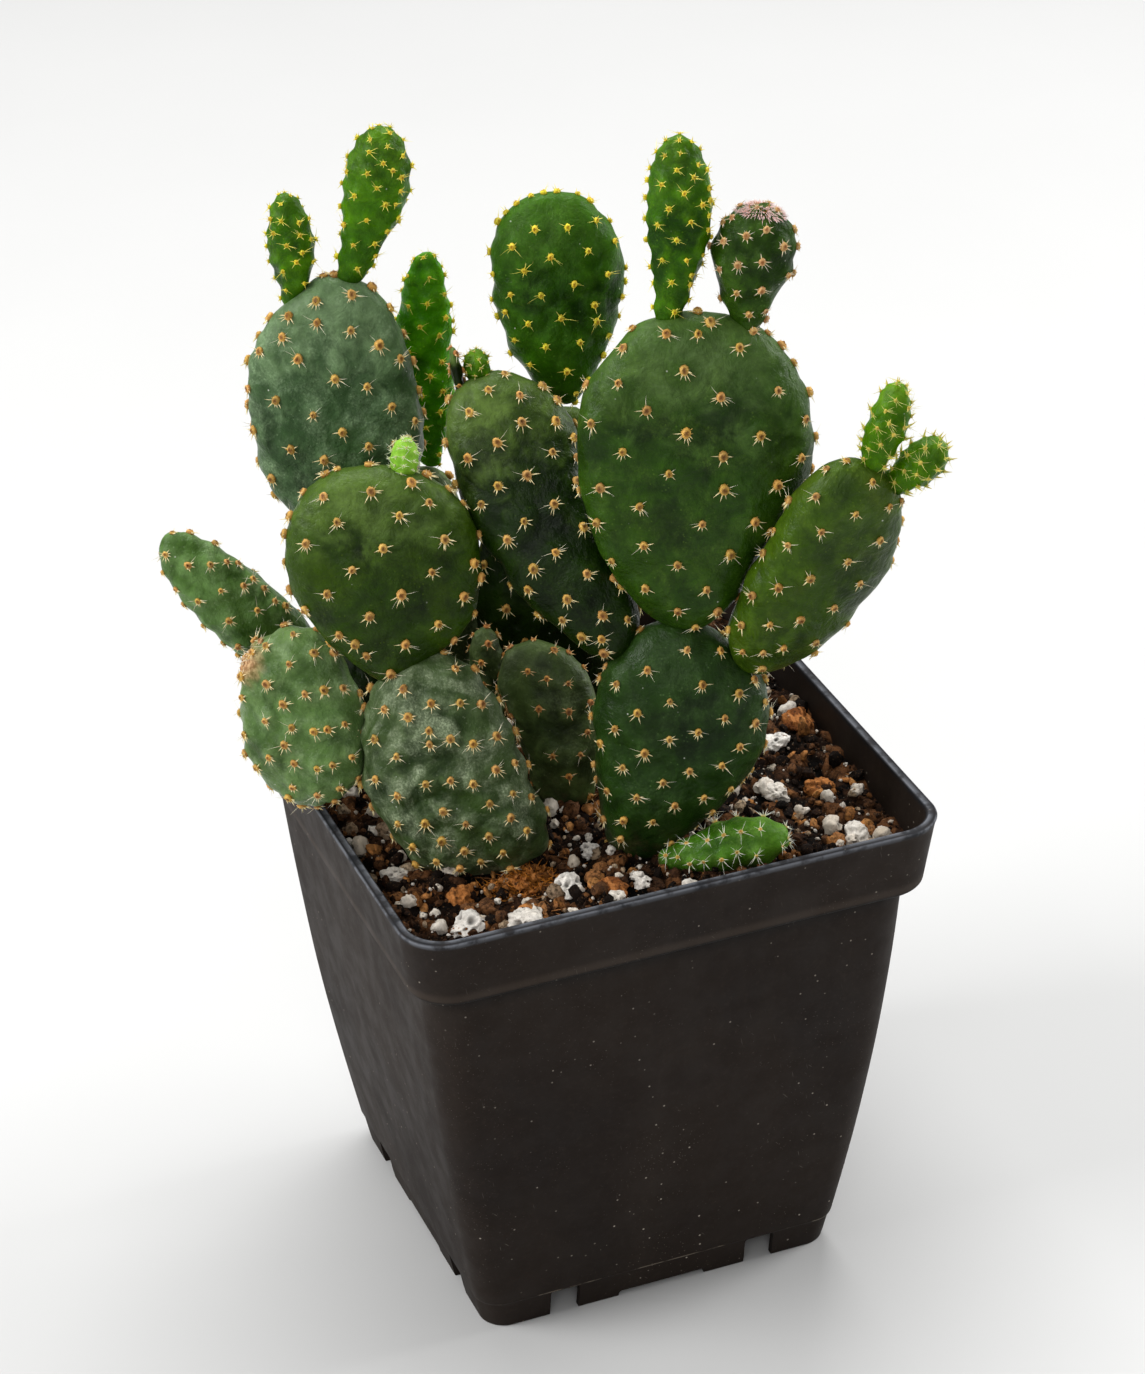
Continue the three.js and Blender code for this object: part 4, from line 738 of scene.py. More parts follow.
def build_shoot(name, spots, around, seed):
    sh = BODIES[name]
    fine = np.linspace(0.0005, 0.9995, 900)
    w = sh.width(fine) * (sh.s['half'] + sh.s['halfThick']) / 2
    arc = np.concatenate([[0], np.cumsum(np.hypot(np.diff(fine) * sh.length, np.diff(w)))])
    rows = int(arc[-1] / (2 * math.pi * (sh.s['half'] + sh.s['halfThick']) / 2 / around) * 0.8)
    t = np.interp(np.linspace(0, arc[-1], rows + 2)[1:-1], arc, fine)
    a = np.linspace(0, 2 * math.pi, around, endpoint=False)
    T, A = np.meshgrid(t, a, indexing='ij')
    pos, nrm = sh.at(T.ravel(), A.ravel())
    ends = np.array([sh.base, sh.tip])
    pos, nrm = np.concatenate([pos, ends]), np.concatenate([nrm, [-sh.u, sh.u]])
    quads, tris = ring_grid(rows, around, rows * around, rows * around + 1)
    kind, _, mound, spread = KINDS[name]
    d, lift = swell(name, pos, spots, mound, spread, seed)
    age = np.concatenate([T.ravel(), [0, 1]])
    v = pos + nrm * d[:, None]
    tris, quads = turn_outward(v, tris, quads)
    zero = np.zeros(len(pos))
    soil_near = smooth01(1 - (pos[:, 2] - soil_level(pos[:, 0], pos[:, 1])) / 5.0)
    return v, tris, quads, dict(age=age, lift=lift, rim=zero, cork=zero, foot=smooth01(1 - age / 0.12), soiled=soil_near), d


SCAR = (math.radians(82), 1.25)   # where the old scar sits on the oval pad


def leaf_scales(parts, pos, nrm, up, rng, size):
    """Small pointed green scales that stand below each areole of a very young shoot."""
    N = len(pos)
    d = unit(nrm * rng.uniform(0.75, 1.1, N)[:, None] + up * rng.uniform(0.35, 0.8, N)[:, None])
    length = rng.uniform(1.5, 2.7, N) * size
    foot = pos - up * (0.45 * size) - nrm * 0.25
    g = lin(132, 180, 48) * rng.uniform(0.85, 1.15, (N, 1))
    y = lin(214, 196, 96) * rng.uniform(0.85, 1.1, (N, 1))
    cones(parts, foot, d, length, np.full(N, 0.36 * size), up * (0.35 * size), [g, (g + y) / 2, y, y * 1.05], rng, 6, 3, 0.9)


def grow_plant(mats):
    for index, name in enumerate(list(PADS) + list(SHOOTS)):
        rng = np.random.default_rng(1000 + index)
        kind, style, mound, spread = KINDS[name]
        body = BODIES[name]
        parts = Parts()
        if name in PADS:
            spots, nrm = pad_areoles(name, rng)
            hidden = name.startswith('pad_hidden')
            around = 96 if hidden else int(np.clip(2 * math.pi * body.mean / 0.82, 100, 172))
            v, tris, quads, attrs, d = build_pad(name, spots, around, 40 + index)
            up = np.repeat(body.u[None], len(spots), 0)
            scale = {'pad_small_grey': 0.8, 'pad_left_oval': 0.85, 'pad_base_left': 0.88, 'pad_base_right': 0.80, 'pad_large': 0.98, 'pad_right': 0.82,
                     'pad_upper_middle': 1.3}.get(name, 0.94)
            t = None
        else:
            gap = {'pad_left_sausage': 5.4, 'bud_round_front': 1.2, 'bud_middle': 1.35, 'shoot_middle_b': 2.4, 'stub_small': 3.2,
                   'shoot_right_a': 1.85, 'shoot_right_b': 1.85, 'offset_front': 2.9, 'shoot_left_a': 2.25, 'shoot_left_b': 2.6,
                   'shoot_large_a': 2.65, 'shoot_large_b': 3.9, 'shoot_narrow': 2.7}[name]
            spots, nrm, t = shoot_areoles(name, rng, gap)
            around = int(np.clip(2 * math.pi * body.s['half'] / 0.46, 40, 92))
            v, tris, quads, attrs, d = build_shoot(name, spots, around, 40 + index)
            up = np.repeat(body.u[None], len(spots), 0)
            scale = {'pad_left_sausage': 0.72, 'shoot_left_a': 0.86, 'bud_round_front': 0.7, 'bud_middle': 0.8, 'stub_small': 0.8,
                     'shoot_middle_b': 0.7}.get(name, 1.0)
        lifted, _ = swell(name, spots, spots, mound, spread, 40 + index)
        foot = spots + nrm * (lifted - 0.06)[:, None]
        skin = make('skin_' + name, v, tris, quads, attrs)
        finish_piece(skin, mats[kind], [name])
        young = name in SHOOTS and name not in ('pad_left_sausage', 'stub_small', 'shoot_middle_b')
        if young:
            small = np.where(t > 0.9, 0.72, 1.0)
            for flag in (0.72, 1.0):
                pick = small == flag
                grow_areoles(parts, foot[pick], nrm[pick], up[pick], style, rng, scale * flag)
            if style == 'leafy':
                leaf_scales(parts, foot, nrm, up, rng, 0.84)
            elif style in ('yellow', 'bud', 'white', 'speck') and name != 'offset_front':
                pick = t > 0.62
                leaf_scales(parts, foot[pick], nrm[pick], up[pick], rng, 0.55 if style == 'yellow' else 0.4)
        else:
            grow_areoles(parts, foot, nrm, up, style, rng, scale)
        if name == 'shoot_large_b':
            crown(parts, body, rng)
        if name == 'pad_left_oval':
            scar_tufts(parts, body, rng)
        pv, pf, pc = parts.get()
        spines = make('spines_' + name, pv, pf, None, None, pc, smooth=True, sharp=55)
        finish_piece(spines, mats['areole'])


def crown(parts, sh, rng):
    """The dense pinkish bristles round the growing tip of the oval young segment."""
    N = 760
    a = rng.uniform(0, 2 * math.pi, N)
    t = 1 - rng.uniform(0, 1, N) ** 1.2 * 0.062
    pos, nrm = sh.at(np.minimum(t, 0.996), a)
    out = sh.w * np.cos(a)[:, None] + sh.n * np.sin(a)[:, None]
    d = unit(out * rng.uniform(0.5, 1.1, N)[:, None] + nrm * rng.uniform(0.25, 0.6, N)[:, None] - sh.u * rng.uniform(-0.1, 0.75, N)[:, None] * ((1 - t) / 0.062)[:, None])
    tone = rng.uniform(0.82, 1.1, (N, 1))
    foot_c, mid, tip = lin(220, 160, 140) * tone, lin(244, 206, 200) * tone, lin(254, 238, 236) * tone
    cones(parts, pos - nrm * 0.1, d, rng.uniform(0.8, 1.5, N), np.full(N, 0.085), -sh.u * rng.uniform(0.0, 0.35, N)[:, None], [foot_c, mid, tip], rng, 3, 2, 0.5)
    M = 70
    a = rng.uniform(0, 2 * math.pi, M)
    t = 1 - rng.uniform(0, 1, M) * 0.03
    pos, nrm = sh.at(np.minimum(t, 0.996), a)
    o = lin(206, 140, 62) * rng.uniform(0.8, 1.15, (M, 1))
    cones(parts, pos - nrm * 0.1, unit(nrm + rng.normal(0, 0.4, (M, 3))), rng.uniform(0.6, 1.1, M), np.full(M, 0.12), np.zeros((M, 3)), [o * 0.7, o], rng, 3, 1)


def scar_tufts(parts, pad, rng):
    """A healed corky scar with spines left standing in it."""
    pos0, nrm0 = pad.at(np.array([SCAR[0]]), np.array([SCAR[1]]))
    a = SCAR[0] + rng.normal(0, 0.17, 9)
    b = SCAR[1] + rng.normal(0, 0.2, 9)
    pos, nrm = pad.at(a, b)
    up = np.repeat(pad.u[None], 9, 0)
    grow_areoles(parts, pos + nrm * 0.35, nrm, up, 'pink', rng, 0.95)


# --------------------------------------------------------------------------- pot
COLLAR_BOTTOM = POT_HEIGHT - COLLAR_HEIGHT


def wall_at(z):
    t = min(max(z / COLLAR_BOTTOM, 0), 1)
    return FOOT_HALF + (SHOULDER_HALF - FOOT_HALF) * t + WALL_BULGE * math.sin(math.pi * t)


def corner_at(z):
    return FOOT_RADIUS + (RIM_RADIUS - FOOT_RADIUS) * (z / POT_HEIGHT)


SIDE_STOPS = [-23.3, -20.3, -17.3, -13, -9, -4.5, 0, 4.5, 9, 13, 17.3, 20.3, 23.3]
ARC_STEPS = 16


def square_row(half, radius):
    """Points round a square with rounded corners, the same count at every size."""
    radius = max(0.4, min(radius, half - 1))
    straight = half - radius
    squeeze = min(1.0, straight / 26.0)
    pts = []
    for q in range(4):
        c, s = [1, 0, -1, 0][q], [0, 1, 0, -1][q]
        side = [(half, x * squeeze) for x in SIDE_STOPS]
        side += [(half, straight * f + 23.3 * squeeze * (1 - f)) for f in (0.5,)]
        side = [(half, -straight * 0.5 - 23.3 * squeeze * 0.5)] + side
        arc = [(straight + radius * math.cos(a), straight + radius * math.sin(a)) for a in np.linspace(0, math.pi / 2, ARC_STEPS + 1)]
        for x, y in side + arc:
            pts.append((x * c - y * s, x * s + y * c))
    return np.array(pts)


def pot_profile():
    """Half width, height and corner radius of each row, and where the floor's underside starts."""
    p = []

    def add(h, z, r):
        p.append((h, z, r))

    foot = FOOT_RADIUS
    for k in range(5):                          # rounded foot edge
        a = math.pi / 2 * k / 4
        add(wall_at(0) - 0.3 - 0.35 * (1 - math.sin(a)), 0.35 * (1 - math.cos(a)), foot)
    for z in (2.0, 4.0, 5.6, 6.25):
        add(wall_at(z) - 0.3, z, corner_at(z))
    add(wall_at(6.4) - 0.22, 6.42, corner_at(6.4))
    add(wall_at(6.6) - 0.06, 6.55, corner_at(6.6))
    add(wall_at(6.8), 6.8, corner_at(6.8))
    for z in np.arange(10, 84, 4.0):
        add(wall_at(z), z, corner_at(z))
    z1 = COLLAR_BOTTOM
    add(wall_at(z1 - 1.6), z1 - 1.6, corner_at(z1))
    add(wall_at(z1 - 0.6) + 0.02, z1 - 0.75, corner_at(z1))
    add(wall_at(z1) + 0.15, z1 - 0.42, corner_at(z1))
    # the collar turns out in a soft round and rises
    for k in range(6):
        a = math.pi / 2 * k / 5
        add(COLLAR_HALF - 0.95 + 0.95 * math.sin(a), z1 + 0.7 - 0.95 * math.cos(a), corner_at(z1) + 0.2)
    for f in (0.15, 0.35, 0.55, 0.75, 0.9):
        add(COLLAR_HALF + (RIM_HALF - 0.25 - COLLAR_HALF) * f, z1 + 0.7 + (POT_HEIGHT - 1.4 - z1 - 0.7) * f, corner_at(z1) + 0.2 + (RIM_RADIUS - corner_at(z1) - 0.2) * f)
    # a thin rolled lip
    add(RIM_HALF - 0.22, POT_HEIGHT - 1.25, RIM_RADIUS)
    for k in range(7):
        a = math.pi / 2 * k / 6
        add(RIM_HALF - 0.45 + 0.45 * math.cos(a), POT_HEIGHT - 0.45 + 0.45 * math.sin(a), RIM_RADIUS)
    for k in range(5):
        a = math.pi / 2 * k / 4
        add(RIM_HALF - WALL - 0.1 - 0.4 * math.sin(a), POT_HEIGHT - 0.4 + 0.4 * math.cos(a), RIM_RADIUS - 1.4)
    add(RIM_HALF - WALL - 0.55, POT_HEIGHT - 1.1, RIM_RADIUS - 1.5)
    for z in (97.5, 94.5, 91.5):
        f = (z - COLLAR_BOTTOM - 2.6) / (POT_HEIGHT - 0.8 - COLLAR_BOTTOM - 2.6)
        add(COLLAR_HALF - WALL + (RIM_HALF - WALL - 0.7 - COLLAR_HALF + WALL) * f, z, corner_at(z) - 1.4)
    add(COLLAR_HALF - WALL - 0.05, COLLAR_BOTTOM + 2.9, corner_at(COLLAR_BOTTOM) - 1.4)
    add(COLLAR_HALF - WALL - 0.35, COLLAR_BOTTOM + 2.45, corner_at(COLLAR_BOTTOM) - 1.4)
    add(wall_at(COLLAR_BOTTOM) - WALL + 0.1, COLLAR_BOTTOM + 1.0, corner_at(COLLAR_BOTTOM) - 1.4)
    for z in (84, 66, 44, 24, 12):
        add(wall_at(z) - WALL, z, corner_at(z) - WALL)
    add(wall_at(FLOOR_TOP) - WALL, FLOOR_TOP + 0.3, corner_at(FLOOR_TOP) - WALL)
    add(wall_at(FLOOR_TOP) - WALL - 0.4, FLOOR_TOP, corner_at(FLOOR_TOP) - WALL)
    for h in (22.0, 10.0):
        add(h, FLOOR_TOP, 3.0)
    mid = len(p)
    for h in (10.0, 22.0):
        add(h, FLOOR_UNDER, 3.0)
    add(wall_at(FLOOR_UNDER) - WALL - 0.5, FLOOR_UNDER, FOOT_RADIUS - WALL)
    add(wall_at(FLOOR_UNDER) - WALL - 0.3, FLOOR_UNDER - 0.3, FOOT_RADIUS - WALL)
    add(wall_at(2) - WALL - 0.3, 2.0, FOOT_RADIUS - WALL)
    add(wall_at(0) - WALL - 0.3, 0.2, FOOT_RADIUS - WALL)
    add(wall_at(0) - WALL - 0.1, 0.0, FOOT_RADIUS - WALL)
    return p, mid


def rounded_box(centre, size, r=0.35, steps=3):
    """Vertices and faces of a cutter with rounded edges along its third axis."""
    w, d, h = size
    ring = []
    for q in range(4):
        sx, sy = [(1, 1), (-1, 1), (-1, -1), (1, -1)][q]
        for k in range(steps + 1):
            a = math.pi / 2 * (q + k / steps)
            ring.append((sx * (w / 2 - r) + r * math.cos(a), sy * (h / 2 - r) + r * math.sin(a)))
    n = len(ring)
    v = [(x, -d / 2, z) for x, z in ring] + [(x, d / 2, z) for x, z in ring]
    v = np.array(v) + np.array(centre)
    f = [tuple(range(n)), tuple(reversed(range(n, 2 * n)))]
    f += [(i, i + n, (i + 1) % n + n, (i + 1) % n) for i in range(n)]
    return v, f


def build_pot(material):
    prof, mid = pot_profile()
    rows = [square_row(h, r) for h, z, r in prof]
    n = len(rows[0])
    v = np.concatenate([np.column_stack([row, np.full(n, prof[i][1])]) for i, row in enumerate(rows)])
    # thin moulded walls are never quite flat
    wob = 0.16 * fbm(v / 34.0 + 3.1, 2, 11) * smooth01(v[:, 2] / 14.0)
    out = v.copy()
    out[:, 2] = 0
    big = np.abs(v[:, :2]).max(1) > 30
    v = v + unit(out) * (wob * big)[:, None]
    quads, base, nxt = [], np.arange(n), (np.arange(n) + 1) % n
    for k in range(len(prof)):
        k2 = (k + 1) % len(prof)
        if k == mid - 1:
            continue
        quads.append(np.stack([k * n + base, k * n + nxt, k2 * n + nxt, k2 * n + base], 1))
    quads = np.concatenate(quads)
    # the floor's two faces are closed by a point each
    top, bottom = len(v), len(v) + 1
    v = np.concatenate([v, [[0, 0, FLOOR_TOP], [0, 0, FLOOR_UNDER]]])
    tris = np.concatenate([np.stack([(mid - 1) * n + base, (mid - 1) * n + nxt, np.full(n, top)], 1),
                           np.stack([mid * n + nxt, mid * n + base, np.full(n, bottom)], 1)])
    tris, quads = turn_outward(v, tris, quads)
    pot = make('pot_body', v, tris, quads)
    # cutters for the notches, the raised stretch between them and the drain holes
    cv, cf = [], []

    def cutter(vv, ff):
        base_index = sum(len(x) for x in cv)
        cv.append(vv)
        cf.extend([tuple(i + base_index for i in f) for f in ff])

    for side in range(4):
        c, s = [1, 0, -1, 0][side], [0, 1, 0, -1][side]
        jobs = [(o, NOTCH_WIDTH, NOTCH_HEIGHT + 4, (NOTCH_HEIGHT - 4) / 2, 0.5) for o in (-NOTCH_OFFSET, NOTCH_OFFSET)]
        jobs.append((0, 18, RELIEF + 4, (RELIEF - 4) / 2, 0.7))
        for o, w, h, z, r in jobs:
            vv, ff = rounded_box((0, 0, 0), (w, 12, h), r)
            # the cutter's depth runs across the wall
            x, y = vv[:, 1] + FOOT_HALF, vv[:, 0] + o
            vv = np.column_stack([x * c - y * s, x * s + y * c, vv[:, 2] + z])
            cutter(vv, ff)
    for x, y in [(0, 0), (19, 19), (-19, 19), (-19, -19), (19, -19), (0, 24), (0, -24), (24, 0), (-24, 0)]:
        a = np.linspace(0, 2 * math.pi, 28, endpoint=False)
        ring = np.column_stack([x + DRAIN_RADIUS * np.cos(a), y + DRAIN_RADIUS * np.sin(a)])
        vv = np.concatenate([np.column_stack([ring, np.full(28, 5.0)]), np.column_stack([ring, np.full(28, 10.0)])])
        ff = [tuple(reversed(range(28))), tuple(range(28, 56))] + [(i, (i + 1) % 28, (i + 1) % 28 + 28, i + 28) for i in range(28)]
        cutter(vv, ff)
    me = bpy.data.meshes.new('cutters')
    me.from_pydata(((np.concatenate(cv) + SHIFT) * MM).tolist(), [], cf)
    me.update()
    import bmesh
    bm = bmesh.new()
    bm.from_mesh(me)
    bmesh.ops.recalc_face_normals(bm, faces=bm.faces)
    bm.to_mesh(me)
    bm.free()
    cut = bpy.data.objects.new('cutters', me)
    bpy.context.scene.collection.objects.link(cut)
    mod = pot.modifiers.new('cut', 'BOOLEAN')
    mod.operation, mod.object, mod.solver = 'DIFFERENCE', cut, 'EXACT'
    bpy.context.view_layer.update()
    dg = bpy.context.evaluated_depsgraph_get()
    made = bpy.data.meshes.new_from_object(pot.evaluated_get(dg))
    pot.modifiers.clear()
    pot.data = made
    made.name = 'pot_body'
    bpy.data.objects.remove(cut)
    made.polygons.foreach_set('use_smooth', np.full(len(made.polygons), True))
    made.set_sharp_from_angle(angle=math.radians(38))
    co = np.zeros(len(made.vertices) * 3, np.float32)
    made.vertices.foreach_get('co', co)
    z = co.reshape(-1, 3)[:, 2] / MM
    # painted highlight: the two edges of the lip are marked for a pale bluish sheen painted into the colour
    p = np.abs(co.reshape(-1, 3)[:, :2] / MM - SHIFT[:2])
    s = RIM_HALF - RIM_RADIUS
    reach = np.where((p > s).all(1), s + np.hypot(*np.maximum(p - s, 0).T), p.max(1))
    wear_and_sheen = np.exp(-((reach - RIM_HALF + 0.10) / 0.16) ** 2) + np.exp(-((reach - RIM_HALF + WALL + 0.12) / 0.16) ** 2)
    edge = made.attributes.new('edge', 'FLOAT', 'POINT')
    edge.data.foreach_set('value', (np.clip(wear_and_sheen, 0, 1) * smooth01((z - POT_HEIGHT + 0.75) / 0.4)).astype(np.float32))
    lip = made.attributes.new('lip', 'FLOAT', 'POINT')
    lip.data.foreach_set('value', smooth01((z - POT_HEIGHT + 1.0) / 0.6).astype(np.float32))
    finish_piece(pot, material, ['pot'])
    return pot


# -------------------------------------------------------------------------- soil
def cell_noise(x, y, size, seed):
    """Distance to the nearest of a jittered grid of points, and a random number of that point's cell."""
    gx, gy = np.floor(x / size).astype(np.int64), np.floor(y / size).astype(np.int64)
    best, pick = np.full(x.shape, 9.0), np.zeros(x.shape)
    zero = np.zeros_like(gx)
    for dx in (-1, 0, 1):
        for dy in (-1, 0, 1):
            cx, cy = gx + dx, gy + dy
            px = (cx + 0.5 + 0.46 * lattice_value(cx, cy, zero, seed)) * size
            py = (cy + 0.5 + 0.46 * lattice_value(cx, cy, zero + 1, seed)) * size
            d = np.hypot(x - px, y - py) / size
            near = d < best
            best = np.where(near, d, best)
            pick = np.where(near, lattice_value(cx, cy, zero + 2, seed) * 0.5 + 0.5, pick)
    return best, pick


def clods(x, y):
    """Height and shade of the lumpy surface."""
    p = np.stack([x, y, np.zeros_like(x)], -1)
    wx, wy = x + 0.5 * value_noise(p / 1.2, 61), y + 0.5 * value_noise(p / 1.2, 62)
    d1, r1 = cell_noise(wx, wy, 3.5, 5)
    d2, r2 = cell_noise(wx, wy, 1.5, 9)
    h1 = np.sqrt(np.maximum(0.0, 1 - (d1 / 0.78) ** 2)) * (0.35 + 0.65 * r1)
    h2 = np.sqrt(np.maximum(0.0, 1 - (d2 / 0.78) ** 2)) * (0.3 + 0.7 * r2)
    return h1, h2, r1, r2


def soil_top(x, y):
    p = np.stack([x, y, np.zeros_like(x)], -1)
    h1, h2, _, _ = clods(x, y)
    return soil_level(x, y) + 0.5 * fbm(p / 5.4, 2, 70) + 2.0 * (h1 - 0.45) + 0.75 * (h2 - 0.4) + 0.2 * fbm(p / 0.8, 2, 75)


def inside_pot(x, y, margin):
    half, r = 50.1 - margin, 7.0
    s = half - r
    cx, cy = np.maximum(np.abs(x) - s, 0), np.maximum(np.abs(y) - s, 0)
    return (np.hypot(cx, cy) < r) & (np.abs(x) < half) & (np.abs(y) < half)


def build_soil(material):
    n = 196
    g = np.linspace(-1, 1, n)
    X, Y = np.meshgrid(g, g, indexing='ij')
    half, r = 50.25, 7.2
    x, y = X * half, Y * half
    s = half - r
    cx, cy = np.maximum(np.abs(x) - s, 0), np.maximum(np.abs(y) - s, 0)
    d = np.hypot(cx, cy)
    k = np.where((cx > 0) & (cy > 0) & (d > r), r / np.maximum(d, 1e-9), 1.0)
    x = np.sign(x) * (np.minimum(np.abs(x), s) + cx * k)
    y = np.sign(y) * (np.minimum(np.abs(y), s) + cy * k)
    top = np.column_stack([x.ravel(), y.ravel(), soil_top(x, y).ravel()])
    idx = np.arange(n * n).reshape(n, n)
    quads = [np.stack([idx[:-1, :-1], idx[1:, :-1], idx[1:, 1:], idx[:-1, 1:]], -1).reshape(-1, 4)]
    loop = np.concatenate([idx[0, :-1], idx[:-1, -1], idx[-1, :0:-1], idx[:0:-1, 0]])
    rim = top[loop]
    verts, last, m = [top], loop, len(loop)
    count = n * n
    for z in (88.0, 66.0, 44.0, 24.0, FLOOR_TOP + 0.4):
        f = (wall_at(min(z, COLLAR_BOTTOM)) - WALL - 0.12) / half
        ring = np.column_stack([rim[:, 0] * f, rim[:, 1] * f, np.full(m, z)])
        new = np.arange(m) + count
        quads.append(np.stack([last, np.roll(last, -1), np.roll(new, -1), new], 1))
        verts.append(ring)
        last, count = new, count + m
    verts.append(np.array([[0, 0, FLOOR_TOP + 0.4]]))
    tris = np.stack([last, np.roll(last, -1), np.full(m, count)], 1)
    v, quads = np.concatenate(verts), np.concatenate(quads)
    h1, h2, r1, r2 = clods(v[:, 0], v[:, 1])
    shade = (0.62 * r1 + 0.38 * r2)[:, None]
    c = lin(9, 5, 3) + (lin(70, 45, 28) - lin(9, 5, 3)) * smooth01((shade - 0.25) / 0.5) ** 1.6
    c = np.where((r1 > 0.84)[:, None], c * 0.4 + lin(128, 84, 50) * 0.6, c)
    # painted shade: darker, down to near black, in the low gaps between the clods
    c = c * (0.06 + 0.94 * smooth01((0.6 * h1 + 0.4 * h2 - 0.10) / 0.55))[:, None]
    # every face turned outward: top faces up, the rest out
    t2, q2 = turn_outward(v, tris, quads)
    ob = make('soil_bed', v, t2, q2, None, c)
    import bmesh
    bm = bmesh.new()
    bm.from_mesh(ob.data)
    bmesh.ops.recalc_face_normals(bm, faces=bm.faces)
    bm.to_mesh(ob.data)
    bm.free()
    finish_piece(ob, material, ['soil'])


def ico(level):
    t = (1 + 5 ** 0.5) / 2
    v = [(-1, t, 0), (1, t, 0), (-1, -t, 0), (1, -t, 0), (0, -1, t), (0, 1, t), (0, -1, -t), (0, 1, -t), (t, 0, -1), (t, 0, 1), (-t, 0, -1), (-t, 0, 1)]
    f = [(0, 11, 5), (0, 5, 1), (0, 1, 7), (0, 7, 10), (0, 10, 11), (1, 5, 9), (5, 11, 4), (11, 10, 2), (10, 7, 6), (7, 1, 8),
         (3, 9, 4), (3, 4, 2), (3, 2, 6), (3, 6, 8), (3, 8, 9), (4, 9, 5), (2, 4, 11), (6, 2, 10), (8, 6, 7), (9, 8, 1)]
    v = [unit(np.array(p, float)) for p in v]
    for _ in range(level):
        cache, nf = {}, []

        def mid(a, b):
            key = (min(a, b), max(a, b))
            if key not in cache:
                v.append(unit(v[a] + v[b]))
                cache[key] = len(v) - 1
            return cache[key]
        for a, b, c in f:
            ab, bc, ca = mid(a, b), mid(b, c), mid(c, a)
            nf += [(a, ab, ca), (b, bc, ab), (c, ca, bc), (ab, bc, ca)]
        f = nf
    return np.array(v), np.array(f)


def rotations(rng, N, lay=1.0):
    """Random turns; lay below 1 keeps the pieces' flat side up."""
    q = rng.normal(0, 1, (N, 4))
    q[:, 1:3] *= lay
    q /= np.linalg.norm(q, axis=1, keepdims=True)
    w, x, y, z = q.T
    return np.stack([np.stack([1 - 2 * (y * y + z * z), 2 * (x * y - w * z), 2 * (x * z + w * y)], -1),
                     np.stack([2 * (x * y + w * z), 1 - 2 * (x * x + z * z), 2 * (y * z - w * x)], -1),
                     np.stack([2 * (x * z - w * y), 2 * (y * z + w * x), 1 - 2 * (x * x + y * y)], -1)], -2)


def chunks(parts, centre, radii, rot, low, high, rng, level, facets=9, pits=0, rough=0.12, dark=0.15, pit_size=(0.22, 0.4)):
    """Irregular lumps cut by random facets, with pits where asked, painted dark inside as shade."""
    tv, tf = ico(level)
    N, V = len(centre), len(tv)
    step = max(1, int(3e6 // (V * max(1, facets + pits))))
    for i in range(0, N, step):
        sl = slice(i, i + step)
        M = len(centre[sl])
        planes = unit(rng.normal(0, 1, (M, facets, 3)))
        dist = rng.uniform(0.72, 1.0, (M, facets))
        dots = np.einsum('vk,mfk->mvf', tv, planes)
        r = np.min(np.where(dots > 0.15, dist[:, None, :] / np.maximum(dots, 0.15), 9.0), -1)
        r = np.minimum(r, 1.12)
        p = tv[None] * 1.9 + rng.uniform(0, 99, (M, 1, 3))
        r = r * (1 + rough * fbm(p, 2, 3) + 0.5 * rough * value_noise(p * 3.1, 5))
        shade = 0.62 + 0.38 * (value_noise(p * 2.3, 8) * 0.5 + 0.5)
        if pits:
            pd = unit(rng.normal(0, 1, (M, pits, 3)) + np.array([0, 0, 0.35]))
            ps = rng.uniform(pit_size[0], pit_size[1], (M, pits))
            ang = np.arccos(np.clip(np.einsum('vk,mfk->mvf', tv, pd), -1, 1))
            hole = np.exp(-(ang / ps[:, None, :]) ** 4).max(-1)
            edge = np.exp(-((ang - ps[:, None, :] * 1.25) / (0.35 * ps[:, None, :])) ** 2).max(-1)
            r = r * (1 - 0.34 * hole + 0.05 * edge)
            # painted shade: each pit is darkened towards dark
            shade = shade * (1 - (1 - dark) * hole)
        q = tv[None] * r[..., None] * radii[sl][:, None, :]
        q = np.einsum('mij,mvj->mvi', rot[sl], q) + centre[sl][:, None, :]
        mixv = rng.uniform(0, 1, (M, 1, 1)) * 0.7 + 0.3 * (value_noise(p * 1.1, 12) * 0.5 + 0.5)[..., None]
        c = (low + (high - low) * mixv) * (shade[..., None] if shade.ndim == 2 else shade)
        idx = tf[None] + (np.arange(M) * V)[:, None, None]
        parts.add(q, idx, c)


def scatter(rng, n, margin, size, sink=0.25):
    """Random places on the soil with room to the wall."""
    xy = rng.uniform(-50, 50, (n * 2, 2))
    xy = xy[inside_pot(xy[:, 0], xy[:, 1], margin)][:n]
    s = size[:len(xy)]
    z = soil_top(xy[:, 0], xy[:, 1]) + s * sink
    return np.column_stack([xy, z]), s


# centre and half size of the clump of fibre
CLUMP = (-23.0, -28.6, 6.4, 3.6)
SHADES = [((9, 6, 4), (36, 23, 15)), ((30, 19, 12), (84, 54, 34)), ((70, 44, 26), (136, 92, 58)), ((108, 66, 32), (186, 128, 78)), ((140, 114, 88), (218, 192, 160))]


